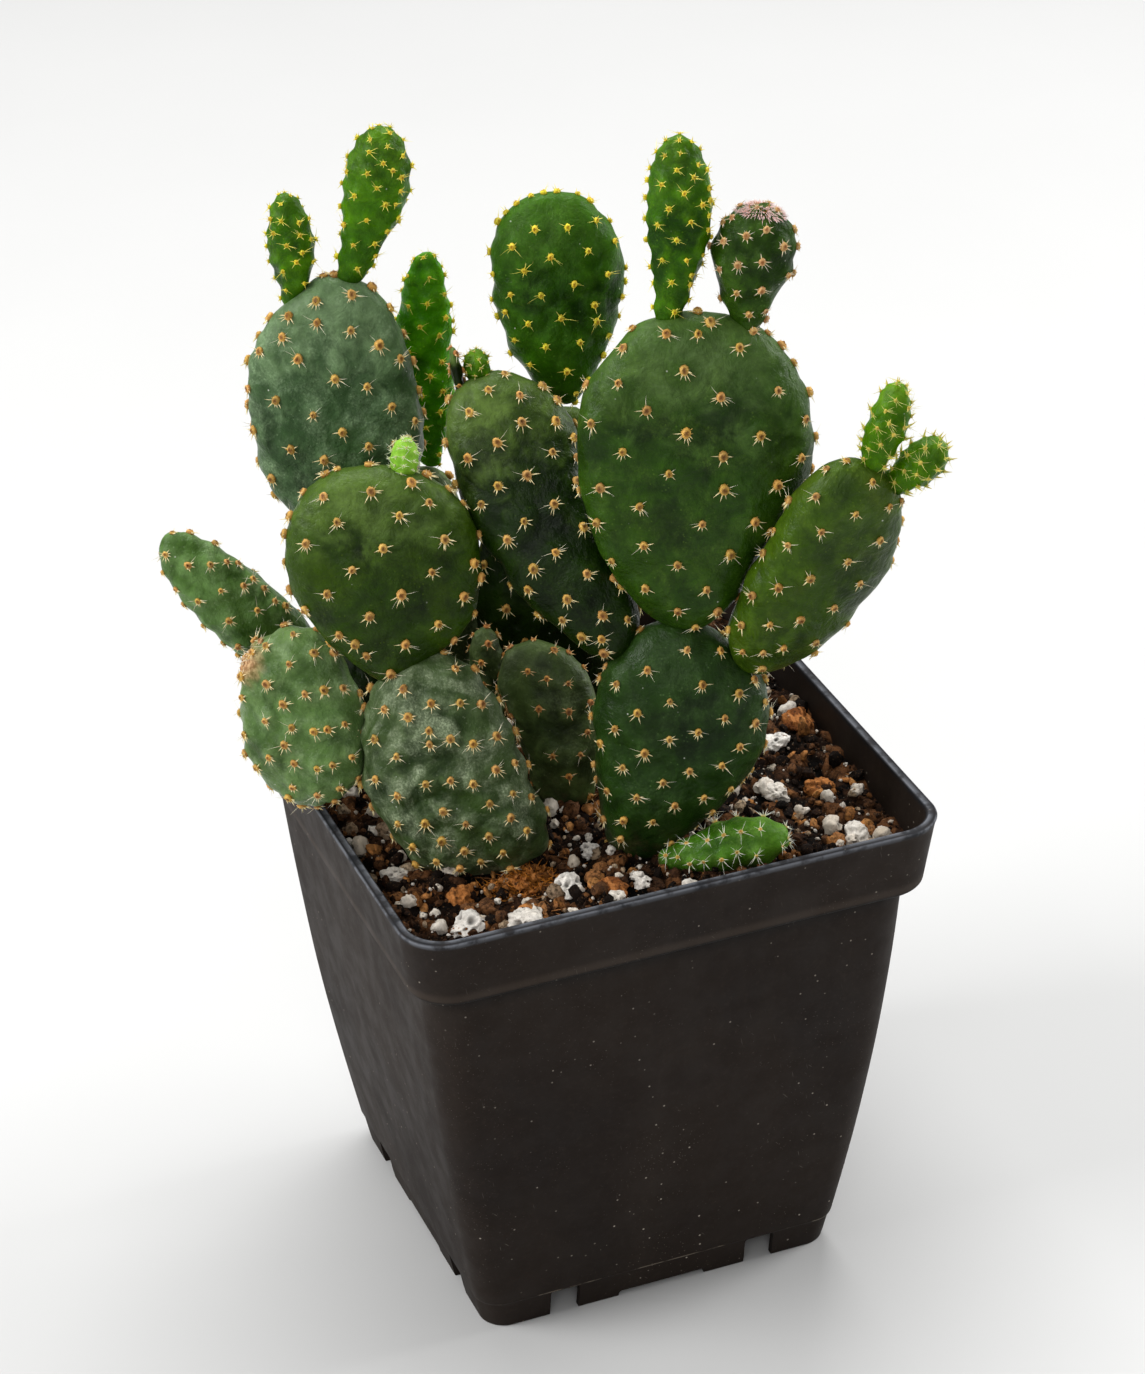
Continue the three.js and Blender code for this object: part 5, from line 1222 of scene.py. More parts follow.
def build_grit(mats):
    rng = np.random.default_rng(77)
    # crumbs of peat and bark, from near black to tan
    parts = Parts()
    for share, (low, high) in zip((0.34, 0.24, 0.19, 0.14, 0.09), SHADES):
        n = int(760 * share)
        size = rng.uniform(0.6, 1.75, n) * rng.uniform(0.8, 1.1, n)
        c, s = scatter(rng, n, 1.4, size)
        chunks(parts, c, s[:, None] * rng.uniform(0.55, 1.15, (len(s), 3)), rotations(rng, len(s)), lin(*low), lin(*high), rng, 1, facets=7, rough=0.32)
        n = int(2700 * share)
        size = rng.uniform(0.25, 0.75, n)
        c, s = scatter(rng, n, 0.8, size, 0.45)
        chunks(parts, c, s[:, None] * rng.uniform(0.55, 1.2, (len(s), 3)), rotations(rng, len(s)), lin(*low), lin(*high), rng, 0, rough=0.35)
    v, f, col = parts.get()
    ob = make('soil_crumbs', v, f, None, None, col, sharp=45)
    finish_piece(ob, mats['crumb'])
    # bark bits
    parts = Parts()
    n = 210
    size = rng.uniform(0.6, 1.7, n)
    c, s = scatter(rng, n, 1.8, size, 0.3)
    chunks(parts, c, s[:, None] * np.column_stack([rng.uniform(0.8, 1.4, len(s)), rng.uniform(0.5, 0.9, len(s)), rng.uniform(0.3, 0.65, len(s))]),
           rotations(rng, len(s), 0.5), lin(104, 60, 26), lin(206, 146, 84), rng, 1, rough=0.28)
    v, f, col = parts.get()
    ob = make('soil_bark_bits', v, f, None, None, col, sharp=50)
    finish_piece(ob, mats['barkbit'])
    # a frizzy clump of orange-brown fibre in front of the left base
    parts = Parts()
    n = 760
    a = rng.uniform(0, 2 * math.pi, n)
    rr = rng.uniform(0, 1, n) ** 0.55
    q = np.column_stack([CLUMP[0] + CLUMP[2] * np.cos(a) * rr, CLUMP[1] + CLUMP[3] * np.sin(a) * rr])
    q += 0.7 * rng.normal(0, 1, (n, 2))
    top = soil_top(q[:, 0], q[:, 1])
    c = np.column_stack([q, top + rng.uniform(-0.3, 1.5, n) * (1.1 - rr)])
    d = unit(np.column_stack([rng.normal(0, 1, n), rng.normal(0, 1, n), rng.normal(0.15, 0.45, n)]))
    length = rng.uniform(1.0, 2.6, n)
    bend = rng.normal(0, 0.55, (n, 3))
    tone = rng.uniform(0.35, 1.15, (n, 1))
    cc = lin(190, 116, 34) * tone
    cones(parts, c, d, length, rng.uniform(0.07, 0.15, n), bend, [cc * 0.55, cc, cc * 1.2, cc * 1.25], rng, 3, 3, 0.35)
    m = 150
    a = rng.uniform(0, 2 * math.pi, m)
    q = np.column_stack([CLUMP[0] + CLUMP[2] * 0.95 * np.cos(a) * rng.uniform(0, 1, m) ** 0.6, CLUMP[1] + CLUMP[3] * 0.95 * np.sin(a) * rng.uniform(0, 1, m) ** 0.6])
    s = rng.uniform(0.3, 0.95, m)
    c = np.column_stack([q, soil_top(q[:, 0], q[:, 1]) + rng.uniform(0.0, 0.9, m)])
    chunks(parts, c, s[:, None] * rng.uniform(0.6, 1.3, (m, 3)), rotations(rng, m), lin(60, 34, 12), lin(176, 108, 38), rng, 0, rough=0.35)
    v, f, col = parts.get()
    ob = make('soil_fibre_clump', v, f, None, None, col, sharp=50)
    finish_piece(ob, mats['barkbit'])
    # perlite: pitted lumps and specks
    parts = Parts()
    n = 215
    size = np.concatenate([rng.uniform(1.1, 2.2, 70), rng.uniform(0.5, 1.2, n - 70)])
    c, s = scatter(rng, n, 2.4, size, 0.34)
    chunks(parts, c, s[:, None] * rng.uniform(0.65, 1.15, (len(s), 3)), rotations(rng, len(s)), lin(206, 190, 168), lin(252, 244, 232), rng, 2, facets=8, pits=6, rough=0.24, dark=0.16, pit_size=(0.14, 0.34))
    size = rng.uniform(0.16, 0.5, 760)
    c, s = scatter(rng, 760, 0.8, size, 0.7)
    chunks(parts, c, s[:, None] * rng.uniform(0.7, 1.2, (len(s), 3)), rotations(rng, len(s)), lin(176, 160, 140), lin(240, 234, 224), rng, 0, rough=0.3)
    v, f, col = parts.get()
    ob = make('soil_perlite_grit', v, f, None, None, col, sharp=60)
    finish_piece(ob, mats['perlite'])
    # root fibres and needles of bark
    parts = Parts()
    n = 170
    c, _ = scatter(rng, n, 2.0, np.full(n, 0.3), 0.4)
    a = rng.uniform(0, 2 * math.pi, len(c))
    d = unit(np.column_stack([np.cos(a), np.sin(a), rng.uniform(-0.05, 0.45, len(c))]))
    length = rng.uniform(2.0, 5.5, len(c))
    tone = rng.uniform(0.6, 1.2, (len(c), 1))
    cc = lin(120, 78, 44) * tone
    bend = np.column_stack([rng.normal(0, 0.9, len(c)), rng.normal(0, 0.9, len(c)), -rng.uniform(0.1, 1.2, len(c))])
    cones(parts, c, d, length, rng.uniform(0.07, 0.16, len(c)), bend, [cc * 0.7, cc, cc * 1.1, cc * 1.2, cc], rng, 4, 4, 0.4)
    v, f, col = parts.get()
    ob = make('soil_fibres', v, f, None, None, col)
    finish_piece(ob, mats['barkbit'])
    # the large loose lumps, one by one
    for i, (x, y, size, flat, turn) in enumerate(PERLITE):
        parts = Parts()
        z = soil_level(np.array([x]), np.array([y]))[0] + size * 0.12
        rot = np.array([[[math.cos(turn), -math.sin(turn), 0], [math.sin(turn), math.cos(turn), 0], [0, 0, 1]]])
        chunks(parts, np.array([[x, y, z]]), np.array([[size * 0.53, size * 0.45, size * 0.5 * flat * 1.12]]), rot,
               lin(222, 212, 198), lin(253, 248, 240), rng, 4, facets=9, pits=9, rough=0.2, dark=0.22, pit_size=(0.12, 0.3))
        v, f, col = parts.get()
        ob = make(f'perlite_lump_{i + 1}', v, f, None, None, col)
        finish_piece(ob, mats['perlite'], [f'perlite_{i + 1}'])
    for i, (x, y, size, flat, turn) in enumerate(BARK):
        parts = Parts()
        z = soil_level(np.array([x]), np.array([y]))[0] + size * 0.08
        rot = np.array([[[math.cos(turn), -math.sin(turn), 0], [math.sin(turn), math.cos(turn), 0], [0, 0, 1]]])
        chunks(parts, np.array([[x, y, z]]), np.array([[size * 0.53, size * 0.42, size * 0.5 * flat * 1.1]]), rot,
               lin(120, 62, 26), lin(196, 126, 66), rng, 3, facets=8, rough=0.26)
        v, f, col = parts.get()
        ob = make(f'bark_lump_{i + 1}', v, f, None, None, col)
        finish_piece(ob, mats['barkbit'], [f'bark_{i + 1}'])


# --------------------------------------------------------------------- materials
class Look:
    def __init__(self, name):
        self.m = bpy.data.materials.new(name)
        self.m.use_nodes = True
        self.t = self.m.node_tree
        self.t.nodes.clear()
        self.out = self.add('ShaderNodeOutputMaterial')
        self.b = self.add('ShaderNodeBsdfPrincipled')
        self.t.links.new(self.b.outputs[0], self.out.inputs['Surface'])
        self.xyz = self.add('ShaderNodeTexCoord').outputs['Object']
        self.nrm = None

    def add(self, kind, **props):
        n = self.t.nodes.new(kind)
        for k, v in props.items():
            setattr(n, k, v)
        return n

    def put(self, socket, value):
        if isinstance(value, bpy.types.NodeSocket):
            self.t.links.new(value, socket)
        elif hasattr(value, '__len__') and len(value) == 3 and socket.type == 'RGBA':
            socket.default_value = (*value, 1.0)
        else:
            socket.default_value = value

    def noise(self, scale, detail=3.0, rough=0.5, distort=0.0, vector=None):
        n = self.add('ShaderNodeTexNoise')
        self.put(n.inputs['Vector'], vector or self.xyz)
        n.inputs['Scale'].default_value = scale
        n.inputs['Detail'].default_value = detail
        n.inputs['Roughness'].default_value = rough
        n.inputs['Distortion'].default_value = distort
        return n.outputs[0]

    def cells(self, scale, feature='F1', vector=None, randomness=1.0):
        n = self.add('ShaderNodeTexVoronoi', feature=feature)
        self.put(n.inputs['Vector'], vector or self.xyz)
        n.inputs['Scale'].default_value = scale
        n.inputs['Randomness'].default_value = randomness
        return n.outputs['Distance']

    def stretch(self, sx, sy, sz, turn=(0, 0, 0)):
        n = self.add('ShaderNodeMapping')
        self.put(n.inputs['Vector'], self.xyz)
        n.inputs['Scale'].default_value = (sx, sy, sz)
        n.inputs['Rotation'].default_value = turn
        return n.outputs[0]

    def dashes(self, length, width, turn, outer, inner):
        """Short thin strokes along one direction."""
        n = self.add('ShaderNodeMapping', vector_type='TEXTURE')
        self.put(n.inputs['Vector'], self.xyz)
        n.inputs['Scale'].default_value = (length, width, width)
        n.inputs['Rotation'].default_value = turn
        return self.ramp(self.cells(1.0, 'F1', n.outputs[0]), outer, inner)

    def axis(self, i):
        n = self.add('ShaderNodeSeparateXYZ')
        self.put(n.inputs[0], self.xyz)
        return n.outputs[i]

    def ramp(self, fac, lo, hi, to_lo=0.0, to_hi=1.0):
        n = self.add('ShaderNodeMapRange', interpolation_type='SMOOTHSTEP')
        self.put(n.inputs['Value'], fac)
        n.inputs['From Min'].default_value, n.inputs['From Max'].default_value = lo, hi
        n.inputs['To Min'].default_value, n.inputs['To Max'].default_value = to_lo, to_hi
        return n.outputs[0]

    def calc(self, op, a, b=0.0):
        n = self.add('ShaderNodeMath', operation=op)
        self.put(n.inputs[0], a)
        self.put(n.inputs[1], b)
        return n.outputs[0]

    def mix(self, fac, a, b, mode='MIX'):
        n = self.add('ShaderNodeMix', data_type='RGBA', blend_type=mode)
        n.clamp_factor = True
        self.put(n.inputs[0], fac)
        self.put(n.inputs[6], a)
        self.put(n.inputs[7], b)
        return n.outputs[2]

    def attr(self, name, colour=False):
        n = self.add('ShaderNodeAttribute', attribute_type='GEOMETRY', attribute_name=name)
        return n.outputs['Color' if colour else 'Fac']

    def upward(self):
        g = self.add('ShaderNodeNewGeometry')
        s = self.add('ShaderNodeSeparateXYZ')
        self.put(s.inputs[0], g.outputs['Normal'])
        return s.outputs[2]

    def bump(self, height, strength, distance):
        n = self.add('ShaderNodeBump')
        self.put(n.inputs['Height'], height)
        n.inputs['Strength'].default_value = strength
        n.inputs['Distance'].default_value = distance
        if self.nrm is not None:
            self.put(n.inputs['Normal'], self.nrm)
        self.nrm = n.outputs[0]

    def done(self, colour, rough, **sockets):
        self.put(self.b.inputs['Base Color'], colour)
        self.put(self.b.inputs['Roughness'], rough)
        if self.nrm is not None:
            self.put(self.b.inputs['Normal'], self.nrm)
        for k, v in sockets.items():
            self.put(self.b.inputs[k.replace('_', ' ')], v)
        return self.m


# dark, middle and light skin, second hue, bloom colour, share of second hue,
# share of bloom, roughness, how strongly the tip is lighter, tip colour; the tip's lightness is partly a painted
# highlight
SKINS = {
    'large': ((25, 45, 7), (37, 60, 14), (52, 78, 28), (52, 72, 14), (118, 138, 106), 0.40, 0.22, 0.40, 0.70, (88, 114, 60)),
    'base': ((19, 35, 8), (29, 48, 15), (44, 64, 28), (36, 52, 14), (112, 130, 104), 0.30, 0.18, 0.40, 0.30, (42, 60, 28)),
    'dark': ((16, 29, 6), (27, 42, 10), (44, 64, 24), (42, 56, 14), (120, 136, 104), 0.30, 0.16, 0.38, 0.78, (102, 128, 58)),
    'olive': ((28, 43, 4), (41, 59, 9), (60, 82, 24), (68, 86, 12), (124, 138, 98), 0.60, 0.14, 0.38, 0.75, (98, 124, 56)),
    'right': ((34, 53, 6), (48, 68, 16), (68, 88, 36), (68, 74, 26), (128, 142, 108), 0.45, 0.16, 0.40, 0.25, (60, 82, 38)),
    'oval': ((56, 82, 34), (80, 107, 56), (118, 140, 92), (92, 116, 56), (166, 180, 152), 0.35, 0.34, 0.36, 0.2, (88, 112, 66)),
    'sausage': ((42, 68, 16), (66, 94, 42), (100, 128, 80), (80, 104, 40), (150, 166, 136), 0.35, 0.30, 0.38, 0.2, (72, 100, 44)),
    'bloom': ((32, 48, 20), (50, 66, 34), (82, 96, 68), (58, 80, 36), (150, 156, 144), 0.35, 0.92, 0.42, 0.1, (66, 82, 54)),
    'blue': ((28, 48, 24), (46, 68, 44), (76, 98, 74), (54, 84, 46), (142, 162, 144), 0.35, 0.56, 0.40, 0.60, (116, 142, 98)),
    'grey': ((27, 34, 17), (44, 55, 31), (66, 76, 48), (60, 68, 34), (108, 116, 92), 0.30, 0.32, 0.46, 0.1, (66, 76, 46)),
    'upper': ((22, 46, 3), (37, 64, 9), (62, 96, 32), (48, 82, 10), (120, 150, 100), 0.40, 0.14, 0.38, 0.6, (64, 98, 28)),
    'young': ((34, 66, 5), (56, 92, 17), (92, 130, 50), (72, 112, 20), (150, 182, 128), 0.40, 0.16, 0.36, 0.4, (76, 112, 30)),
    'bright': ((26, 60, 3), (44, 90, 8), (84, 130, 42), (60, 108, 12), (140, 180, 110), 0.40, 0.10, 0.30, 0.4, (58, 104, 16)),
    'youngdark': ((30, 51, 7), (44, 67, 18), (66, 90, 36), (58, 84, 22), (126, 146, 110), 0.40, 0.14, 0.38, 0.3, (52, 74, 28)),
    'lime': ((92, 146, 32), (122, 174, 54), (164, 206, 96), (140, 186, 50), (206, 228, 160), 0.40, 0.08, 0.36, 0.4, (150, 196, 76)),
    'limedark': ((54, 90, 8), (82, 122, 22), (124, 162, 56), (104, 144, 26), (176, 204, 120), 0.40, 0.10, 0.34, 0.5, (108, 148, 38)),
    'offset': ((38, 72, 12), (58, 98, 30), (98, 142, 64), (78, 122, 34), (156, 182, 142), 0.40, 0.30, 0.32, 0.5, (100, 146, 46)),
}


# how the red, green and blue of each skin are scaled, its tip apart; 'bright' and 'grey' are raised well above 1,
# painted light that lifts segments sitting in shade
TONE = {
    'large': (0.78, 1.00, 0.22), 'base': (0.80, 1.08, 0.50), 'dark': (0.42, 0.60, 0.12), 'olive': (0.56, 0.74, 0.06),
    'right': (0.90, 1.08, 0.18), 'upper': (0.88, 1.18, 0.34), 'young': (0.74, 0.98, 0.04), 'bright': (1.5, 1.95, 0.25),
    'youngdark': (0.76, 0.98, 0.34), 'lime': (0.95, 1.0, 0.7), 'limedark': (0.48, 0.66, 0.0), 'offset': (0.85, 0.98, 0.40),
    'bloom': (0.90, 1.0, 0.72), 'blue': (1.0, 1.08, 0.76), 'oval': (0.88, 0.96, 0.80), 'sausage': (1.10, 1.18, 0.95),
    'grey': (1.65, 1.85, 1.30),
}


def skin(kind):
    dark, middle, light, hue, bloom, hue_share, bloom_share, rough, tip_share, tip = SKINS[kind]
    dark, middle, light, hue, bloom, tip = (lin(*c) for c in (dark, middle, light, hue, bloom, tip))
    dark, middle, light, hue, bloom = (c * np.array(TONE[kind]) for c in (dark, middle, light, hue, bloom))
    old = kind in ('bloom', 'base', 'large', 'dark', 'olive', 'right', 'blue', 'oval', 'sausage', 'grey')
    dark, light = dark * 0.74, light * (1.30 if old else 1.22)
    k = Look('skin_' + kind)
    broad = k.noise(85, 3, 0.55, 0.5)
    cloud = k.noise(190, 5, 0.6, 0.3)
    fine = k.noise(640, 4, 0.6)
    grain = k.noise(2400, 3, 0.65)
    c = k.mix(k.ramp(broad, 0.38, 0.57), dark, middle)
    c = k.mix(k.calc('MULTIPLY', k.ramp(cloud, 0.46, 0.72), 0.55), c, light)
    c = k.mix(k.calc('MULTIPLY', k.ramp(k.noise(62, 3, 0.5, 0.8), 0.47, 0.68), hue_share), c, hue)
    age = k.attr('age')
    # lighter towards the tip: partly the younger skin's own colour, partly a painted highlight on the segment's top
    c = k.mix(k.calc('MULTIPLY', k.ramp(k.calc('ADD', age, k.ramp(cloud, 0.3, 0.7, -0.12, 0.12)), 0.60, 1.0), tip_share), c, tip)
    # darker towards the joint with the segment below; painted rim light: paler round the edge
    c = k.mix(k.calc('MULTIPLY', k.ramp(age, 0.30, 0.0), 0.35), c, dark * 0.8)
    c = k.mix(k.calc('MULTIPLY', k.attr('rim'), 0.25), c, light)
    # painted light and shade: paler skin on each mound, darker in the hollows between them
    lift = k.attr('lift')
    c = k.mix(k.ramp(lift, 0.30, 0.85, 0.0, 0.28), c, light)
    c = k.mix(k.ramp(lift, 0.10, 0.0, 0.0, 0.16), c, dark * 0.7)
    # waxy bloom in drifts, rubbed off in places, made of fine pale grains
    drift = k.ramp(k.noise(105, 6, 0.62, 1.0), 0.42, 0.64)
    patch = k.ramp(k.noise(380, 5, 0.62, 0.5), 0.38, 0.62, 0.35, 1.0)
    grains = k.ramp(grain, 0.40, 0.66, 0.45, 1.25)
    near = k.ramp(lift, 0.0, 0.5, 0.7, 1.1)
    # painted highlight: the bloom is made heavier on upward-facing skin; it is also heavier on the mounds
    top = k.ramp(k.upward(), -0.5, 0.7, 0.6, 1.0)
    wax = k.calc('MULTIPLY', k.calc('MULTIPLY', drift, patch), k.calc('MULTIPLY', top, near))
    wax = k.calc('MULTIPLY', k.calc('MULTIPLY', wax, grains), bloom_share)
    c = k.mix(wax, c, bloom)
    # fine mottling, tiny pale dots and dust
    c = k.mix(k.ramp(fine, 0.38, 0.66, 0.0, 0.22), c, dark * 0.6)
    c = k.mix(k.ramp(grain, 0.56, 0.80, 0.0, 0.20), c, light)
    dots = k.calc('MULTIPLY', k.ramp(k.cells(900), 0.20, 0.09), k.ramp(k.noise(240, 3), 0.46, 0.60))
    c = k.mix(k.calc('MULTIPLY', dots, 0.22), c, bloom)
    specks = k.calc('MULTIPLY', k.ramp(k.cells(330), 0.070, 0.030), k.ramp(k.noise(130, 2), 0.53, 0.60))
    c = k.mix(k.calc('MULTIPLY', specks, 0.65), c, lin(206, 208, 198))
    for turn, length, width in (((0.3, 0.7, 0.2), 0.022, 0.0016), ((1.1, 0.2, 0.9), 0.016, 0.0013)):
        mark = k.calc('MULTIPLY', k.dashes(length, width, turn, 0.075, 0.03), k.ramp(k.noise(70, 2), 0.54, 0.60))
        c = k.mix(k.calc('MULTIPLY', mark, 0.35), c, bloom)
    # cork of an old scar, and dust by the soil
    cork = k.attr('cork')
    c = k.mix(cork, c, k.mix(k.ramp(k.noise(900, 4, 0.7), 0.35, 0.65), lin(126, 84, 48), lin(206, 168, 124)))
    soil = k.calc('MULTIPLY', k.attr('soiled'), k.ramp(k.noise(330, 5, 0.65), 0.40, 0.66))
    c = k.mix(k.calc('MULTIPLY', soil, 0.6), c, lin(70, 54, 38))
    r = k.calc('ADD', k.ramp(fine, 0.3, 0.7, rough - 0.12, rough + 0.04), k.calc('MULTIPLY', wax, 0.25))
    r = k.calc('ADD', r, k.calc('MULTIPLY', cork, 0.35))
    k.bump(cloud, 0.55, 0.0019)
    k.bump(fine, 0.40, 0.00045)
    k.bump(grain, 0.16, 0.00018)
    young = kind in ('upper', 'young', 'bright', 'youngdark', 'lime', 'limedark', 'offset')
    return k.done(c, r, Specular_IOR_Level=0.15 if old else 0.10, Subsurface_Weight=0.10 if young else 0.0, Subsurface_Scale=0.003,
                  Subsurface_Radius=(0.35, 1.0, 0.2))


def make_looks():
    mats = {kind: skin(kind) for kind in SKINS}
    # wool, bristles and spines: colour runs along each one
    k = Look('areole')
    c = k.attr('tint', True)
    c = k.mix(k.ramp(k.noise(3000, 3, 0.6), 0.3, 0.7, 0.0, 0.22), c, lin(96, 58, 28))
    mats['areole'] = k.done(c, k.ramp(k.noise(1500, 2), 0.3, 0.7, 0.48, 0.66), Specular_IOR_Level=0.22, Subsurface_Weight=0.15,
                            Subsurface_Scale=0.0006, Subsurface_Radius=(1.0, 0.8, 0.5))
    # pot: dark moulded plastic, dusty, finely scratched, with a painted highlight along the lip's two edges and a
    # painted shadow and highlight at the collar's step
    k = Look('pot_plastic')
    wide = k.noise(24, 4, 0.6, 0.6)
    streak = k.noise(48, 5, 0.62, 0.2, k.stretch(1, 1, 0.14))
    c = k.mix(k.ramp(wide, 0.3, 0.7), lin(24, 16, 11), lin(32, 23, 16))
    step = COLLAR_BOTTOM * MM
    # painted shadow: a near-black band on the wall just under the collar's step
    painted_collar_shadow = k.calc('MULTIPLY', k.ramp(k.axis(2), step - 0.0050, step - 0.0004), k.ramp(k.axis(2), step + 0.0009, step + 0.0002))
    # painted highlight: a paler band on the collar's rounded lower edge
    upper = k.calc('MULTIPLY', k.ramp(k.axis(2), step + 0.0002, step + 0.0010), k.ramp(k.axis(2), step + 0.0030, step + 0.0014))
    c = k.mix(k.calc('MULTIPLY', k.ramp(streak, 0.48, 0.76), 0.4), c, lin(46, 38, 32))
    c = k.mix(k.ramp(k.noise(1000, 3, 0.6), 0.50, 0.8, 0.0, 0.12), c, lin(70, 58, 48))
    # painted shadow under the collar's step
    c = k.mix(k.calc('MULTIPLY', painted_collar_shadow, 0.85), c, lin(6, 4, 3))
    # painted highlight on the collar's lower edge
    c = k.mix(k.calc('MULTIPLY', upper, 0.5), c, lin(62, 52, 44))
    low = k.ramp(k.axis(2), 0.070, 0.004, 0.5, 1.0)
    dust = k.calc('MULTIPLY', k.ramp(k.cells(400), 0.10, 0.04), k.ramp(k.noise(60, 4), 0.44, 0.56))
    fines = k.calc('MULTIPLY', k.ramp(k.cells(1250), 0.15, 0.06), k.ramp(k.noise(75, 5), 0.48, 0.64))
    c = k.mix(k.calc('MULTIPLY', k.calc('MULTIPLY', dust, low), 0.85), c, lin(186, 176, 162))
    c = k.mix(k.calc('MULTIPLY', k.calc('MULTIPLY', fines, low), 0.5), c, lin(140, 130, 118))
    wear_and_sheen = 0.0
    for turn, length, width in (((0.0, 0.75, 0.35), 0.030, 0.0011), ((0.2, -0.45, 0.35), 0.020, 0.0009), ((0.1, 1.35, 0.35), 0.016, 0.0008),
                                ((0.6, 0.15, 1.25), 0.026, 0.0010)):
        mark = k.calc('MULTIPLY', k.dashes(length, width, turn, 0.10, 0.04), k.ramp(k.noise(46, 3), 0.53, 0.60))
        wear_and_sheen = mark if wear_and_sheen == 0.0 else k.calc('MAXIMUM', wear_and_sheen, mark)
    wear_and_sheen = k.calc('MULTIPLY', wear_and_sheen, low)
    c = k.mix(k.calc('MULTIPLY', wear_and_sheen, 0.34), c, lin(138, 130, 120))
    # the fine moulding line above the foot catches dust
    seam = k.ramp(k.calc('ABSOLUTE', k.calc('SUBTRACT', k.axis(2), 0.00655)), 0.00034, 0.00012)
    seam = k.calc('MULTIPLY', seam, k.ramp(k.noise(150, 5, 0.7), 0.46, 0.60))
    c = k.mix(k.calc('MULTIPLY', seam, 0.5), c, lin(150, 138, 122))
    lip = k.attr('lip')
    c = k.mix(k.calc('MULTIPLY', lip, k.ramp(k.noise(420, 4, 0.6), 0.34, 0.60, 0.55, 1.0)), c, lin(20, 21, 25))
    # painted highlight: pale bluish grey along the lip's two edges, broken up by noise
    c = k.mix(k.calc('MULTIPLY', k.attr('edge'), k.ramp(k.noise(260, 4, 0.6), 0.36, 0.56, 0.10, 0.65)), c, lin(120, 123, 130))
    r = k.calc('ADD', k.ramp(k.noise(150, 4, 0.6), 0.3, 0.7, 0.60, 0.74), k.calc('MULTIPLY', k.calc('MAXIMUM', wear_and_sheen, dust), 0.2))
    k.bump(k.noise(45, 3, 0.5), 0.22, 0.0012)
    k.bump(k.noise(1700, 3, 0.6), 0.20, 0.00008)
    mats['pot'] = k.done(c, r, Specular_IOR_Level=0.18)
    # soil bed: every clod has its own shade
    k = Look('soil_bed')
    c = k.attr('tint', True)
    c = k.mix(k.ramp(k.noise(900, 5, 0.7), 0.40, 0.66, 0.0, 0.85), c, lin(10, 6, 4))
    c = k.mix(k.ramp(k.noise(1500, 4, 0.7), 0.60, 0.74, 0.0, 0.7), c, lin(150, 104, 64))
    c = k.mix(k.ramp(k.cells(1300), 0.13, 0.06, 0.0, 0.5), c, lin(190, 170, 144))
    k.bump(k.noise(800, 6, 0.7), 0.9, 0.0012)
    mats['soil'] = k.done(c, k.ramp(k.noise(900, 3), 0.3, 0.7, 0.72, 0.95), Specular_IOR_Level=0.08)
    for name, bump, lo, hi, dark in (('crumb', 1.0, 0.62, 0.92, (9, 5, 3)), ('barkbit', 0.9, 0.55, 0.85, (44, 22, 9)), ('perlite', 0.6, 0.62, 0.9, (150, 140, 128))):
        k = Look('grit_' + name)
        c = k.attr('tint', True)
        c = k.mix(k.ramp(k.noise(1500, 4, 0.65), 0.42, 0.66, 0.0, 0.8 if name != 'perlite' else 0.35), c, lin(*dark))
        if name == 'crumb':
            c = k.mix(k.ramp(k.noise(2600, 3, 0.7), 0.60, 0.72, 0.0, 0.5), c, lin(176, 132, 92))
        if name == 'barkbit':
            c = k.mix(k.ramp(k.noise(900, 3, 0.6, 0.0, k.stretch(1, 0.2, 0.6, (0.3, 0.8, 0.2))), 0.45, 0.62, 0.0, 0.5), c, lin(226, 150, 84))
        if name == 'perlite':
            c = k.mix(k.ramp(k.cells(1900), 0.22, 0.10, 0.0, 0.55), c, lin(122, 108, 92))
        k.bump(k.noise(1400, 5, 0.7), bump, 0.0006)
        mats[name] = k.done(c, k.ramp(k.noise(700, 3), 0.3, 0.7, lo, hi), Specular_IOR_Level=0.10)
    return mats


# ------------------------------------------------------------------------- build
looks = make_looks()
build_pot(looks['pot'])
build_soil(looks['soil'])
build_grit(looks)
grow_plant(looks)

# ---------------------------------------------------------- floor, light, camera
floor_look = Look('pale_floor')
floor_mat = floor_look.done(floor_look.mix(floor_look.noise(9, 3), (0.54, 0.54, 0.535), (0.57, 0.57, 0.565)), 0.7, Specular_IOR_Level=0.2)
me = bpy.data.meshes.new('floor')
me.from_pydata([(-5, -5, 0), (5, -5, 0), (5, 5, 0), (-5, 5, 0)], [], [(0, 1, 2, 3)])
floor = bpy.data.objects.new('floor', me)
bpy.context.scene.collection.objects.link(floor)
floor.data.materials.append(floor_mat)

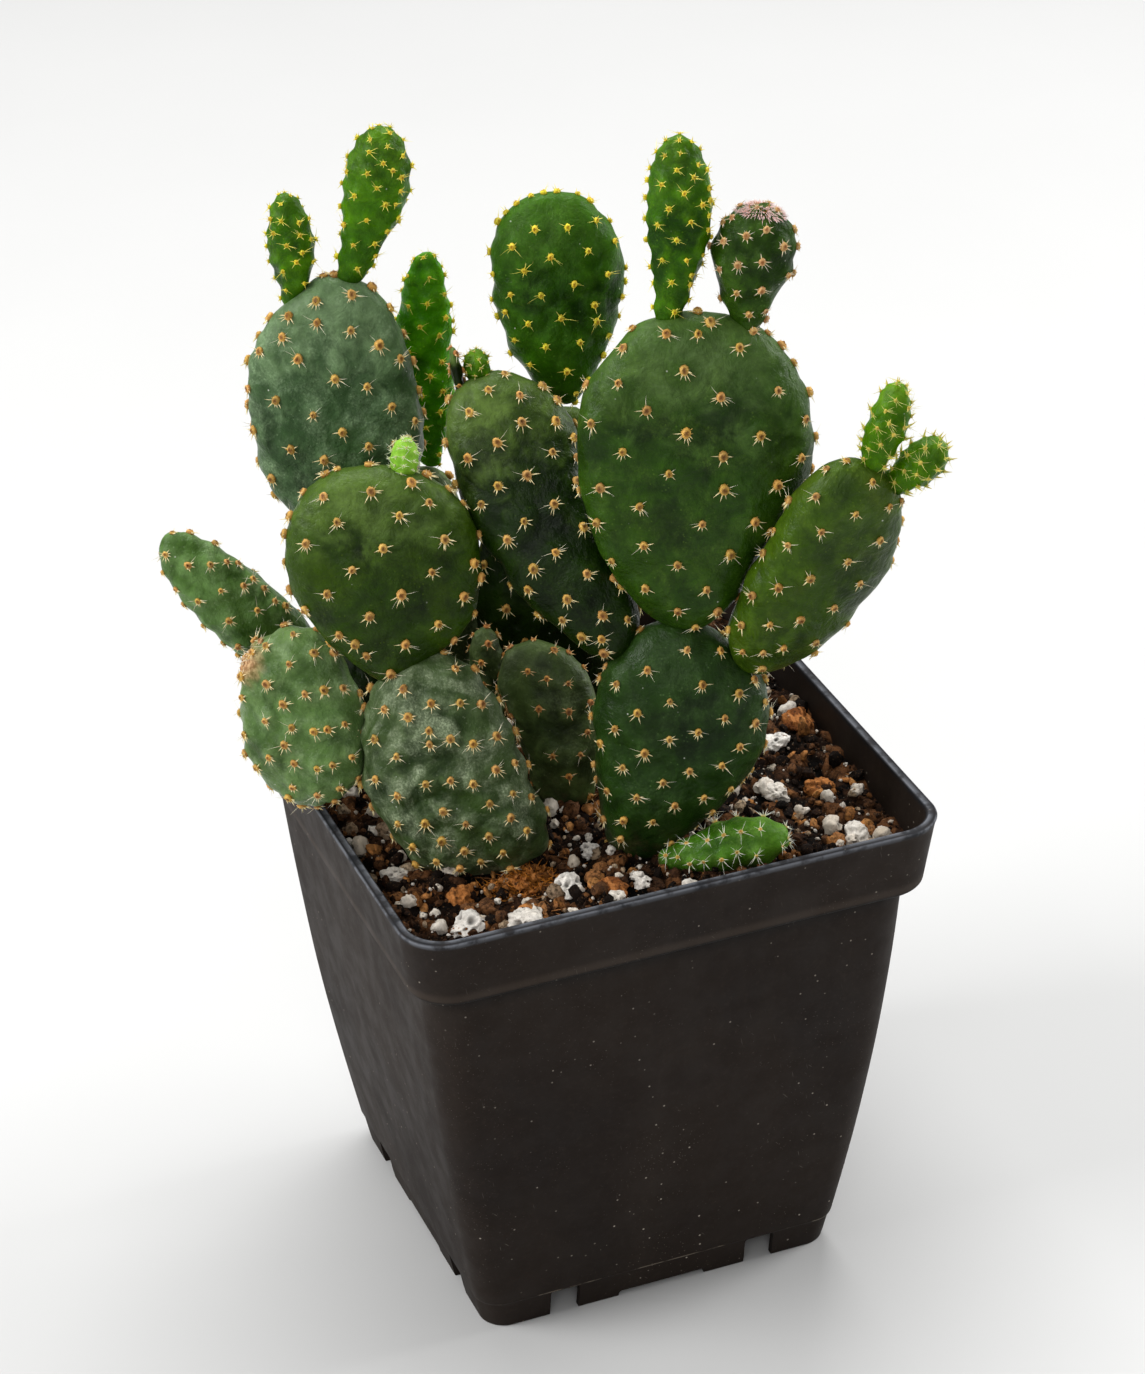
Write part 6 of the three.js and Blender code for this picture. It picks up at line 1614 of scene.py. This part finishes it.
scene = bpy.context.scene
world = bpy.data.worlds.new('studio')
scene.world = world
world.use_nodes = True
world.node_tree.nodes['Background'].inputs[0].default_value = (1.0, 1.0, 1.0, 1.0)
world.node_tree.nodes['Background'].inputs[1].default_value = 0.34


def softbox(name, place, aim, width, height, power, colour=(1, 1, 1)):
    data = bpy.data.lights.new(name, 'AREA')
    data.shape, data.size, data.size_y, data.energy, data.color = 'RECTANGLE', width, height, power, colour
    ob = bpy.data.objects.new(name, data)
    scene.collection.objects.link(ob)
    ob.location = place
    ob.rotation_mode = 'QUATERNION'
    ob.rotation_quaternion = (Vector(aim) - Vector(place)).to_track_quat('-Z', 'Y')
    return ob


AIM = (0.0, 0.0, 0.12)
softbox('key_left', (-1.05, 0.10, 0.85), AIM, 0.6, 0.9, 14)
softbox('right', (1.10, -0.02, 0.60), AIM, 0.5, 0.9, 10)
softbox('overhead', (0.15, 0.50, 1.25), AIM, 0.9, 0.7, 15)
softbox('front_fill', (-0.55, -1.25, 0.95), AIM, 0.9, 0.7, 5)

AZ, EL, ROLL, DIST = -0.3651915343479981, 0.528290536943803, -0.029941041809579298, 896.5772032834102
target = np.array([32.92240594428335, 88.93179455894683, 60.0])
back = np.array([math.sin(AZ) * math.cos(EL), -math.cos(AZ) * math.cos(EL), math.sin(EL)])
right = np.array([math.cos(AZ), math.sin(AZ), 0.0])
upward = np.cross(back, right)
R_ = math.cos(ROLL) * right + math.sin(ROLL) * upward
U_ = -math.sin(ROLL) * right + math.cos(ROLL) * upward
where = (target + back * DIST + SHIFT) * MM
cam_data = bpy.data.cameras.new('camera')
cam_data.sensor_width = 36.0
cam_data.lens = 4200.0 * 36.0 / 1374.0
cam_data.clip_start, cam_data.clip_end = 0.05, 20.0
cam = bpy.data.objects.new('camera', cam_data)
scene.collection.objects.link(cam)
cam.matrix_world = Matrix([[R_[0], U_[0], back[0], where[0]], [R_[1], U_[1], back[1], where[1]],
                           [R_[2], U_[2], back[2], where[2]], [0, 0, 0, 1]])
scene.camera = cam
scene.view_settings.view_transform = 'Standard'
scene.view_settings.look = 'None'

bpy.context.view_layer.update()
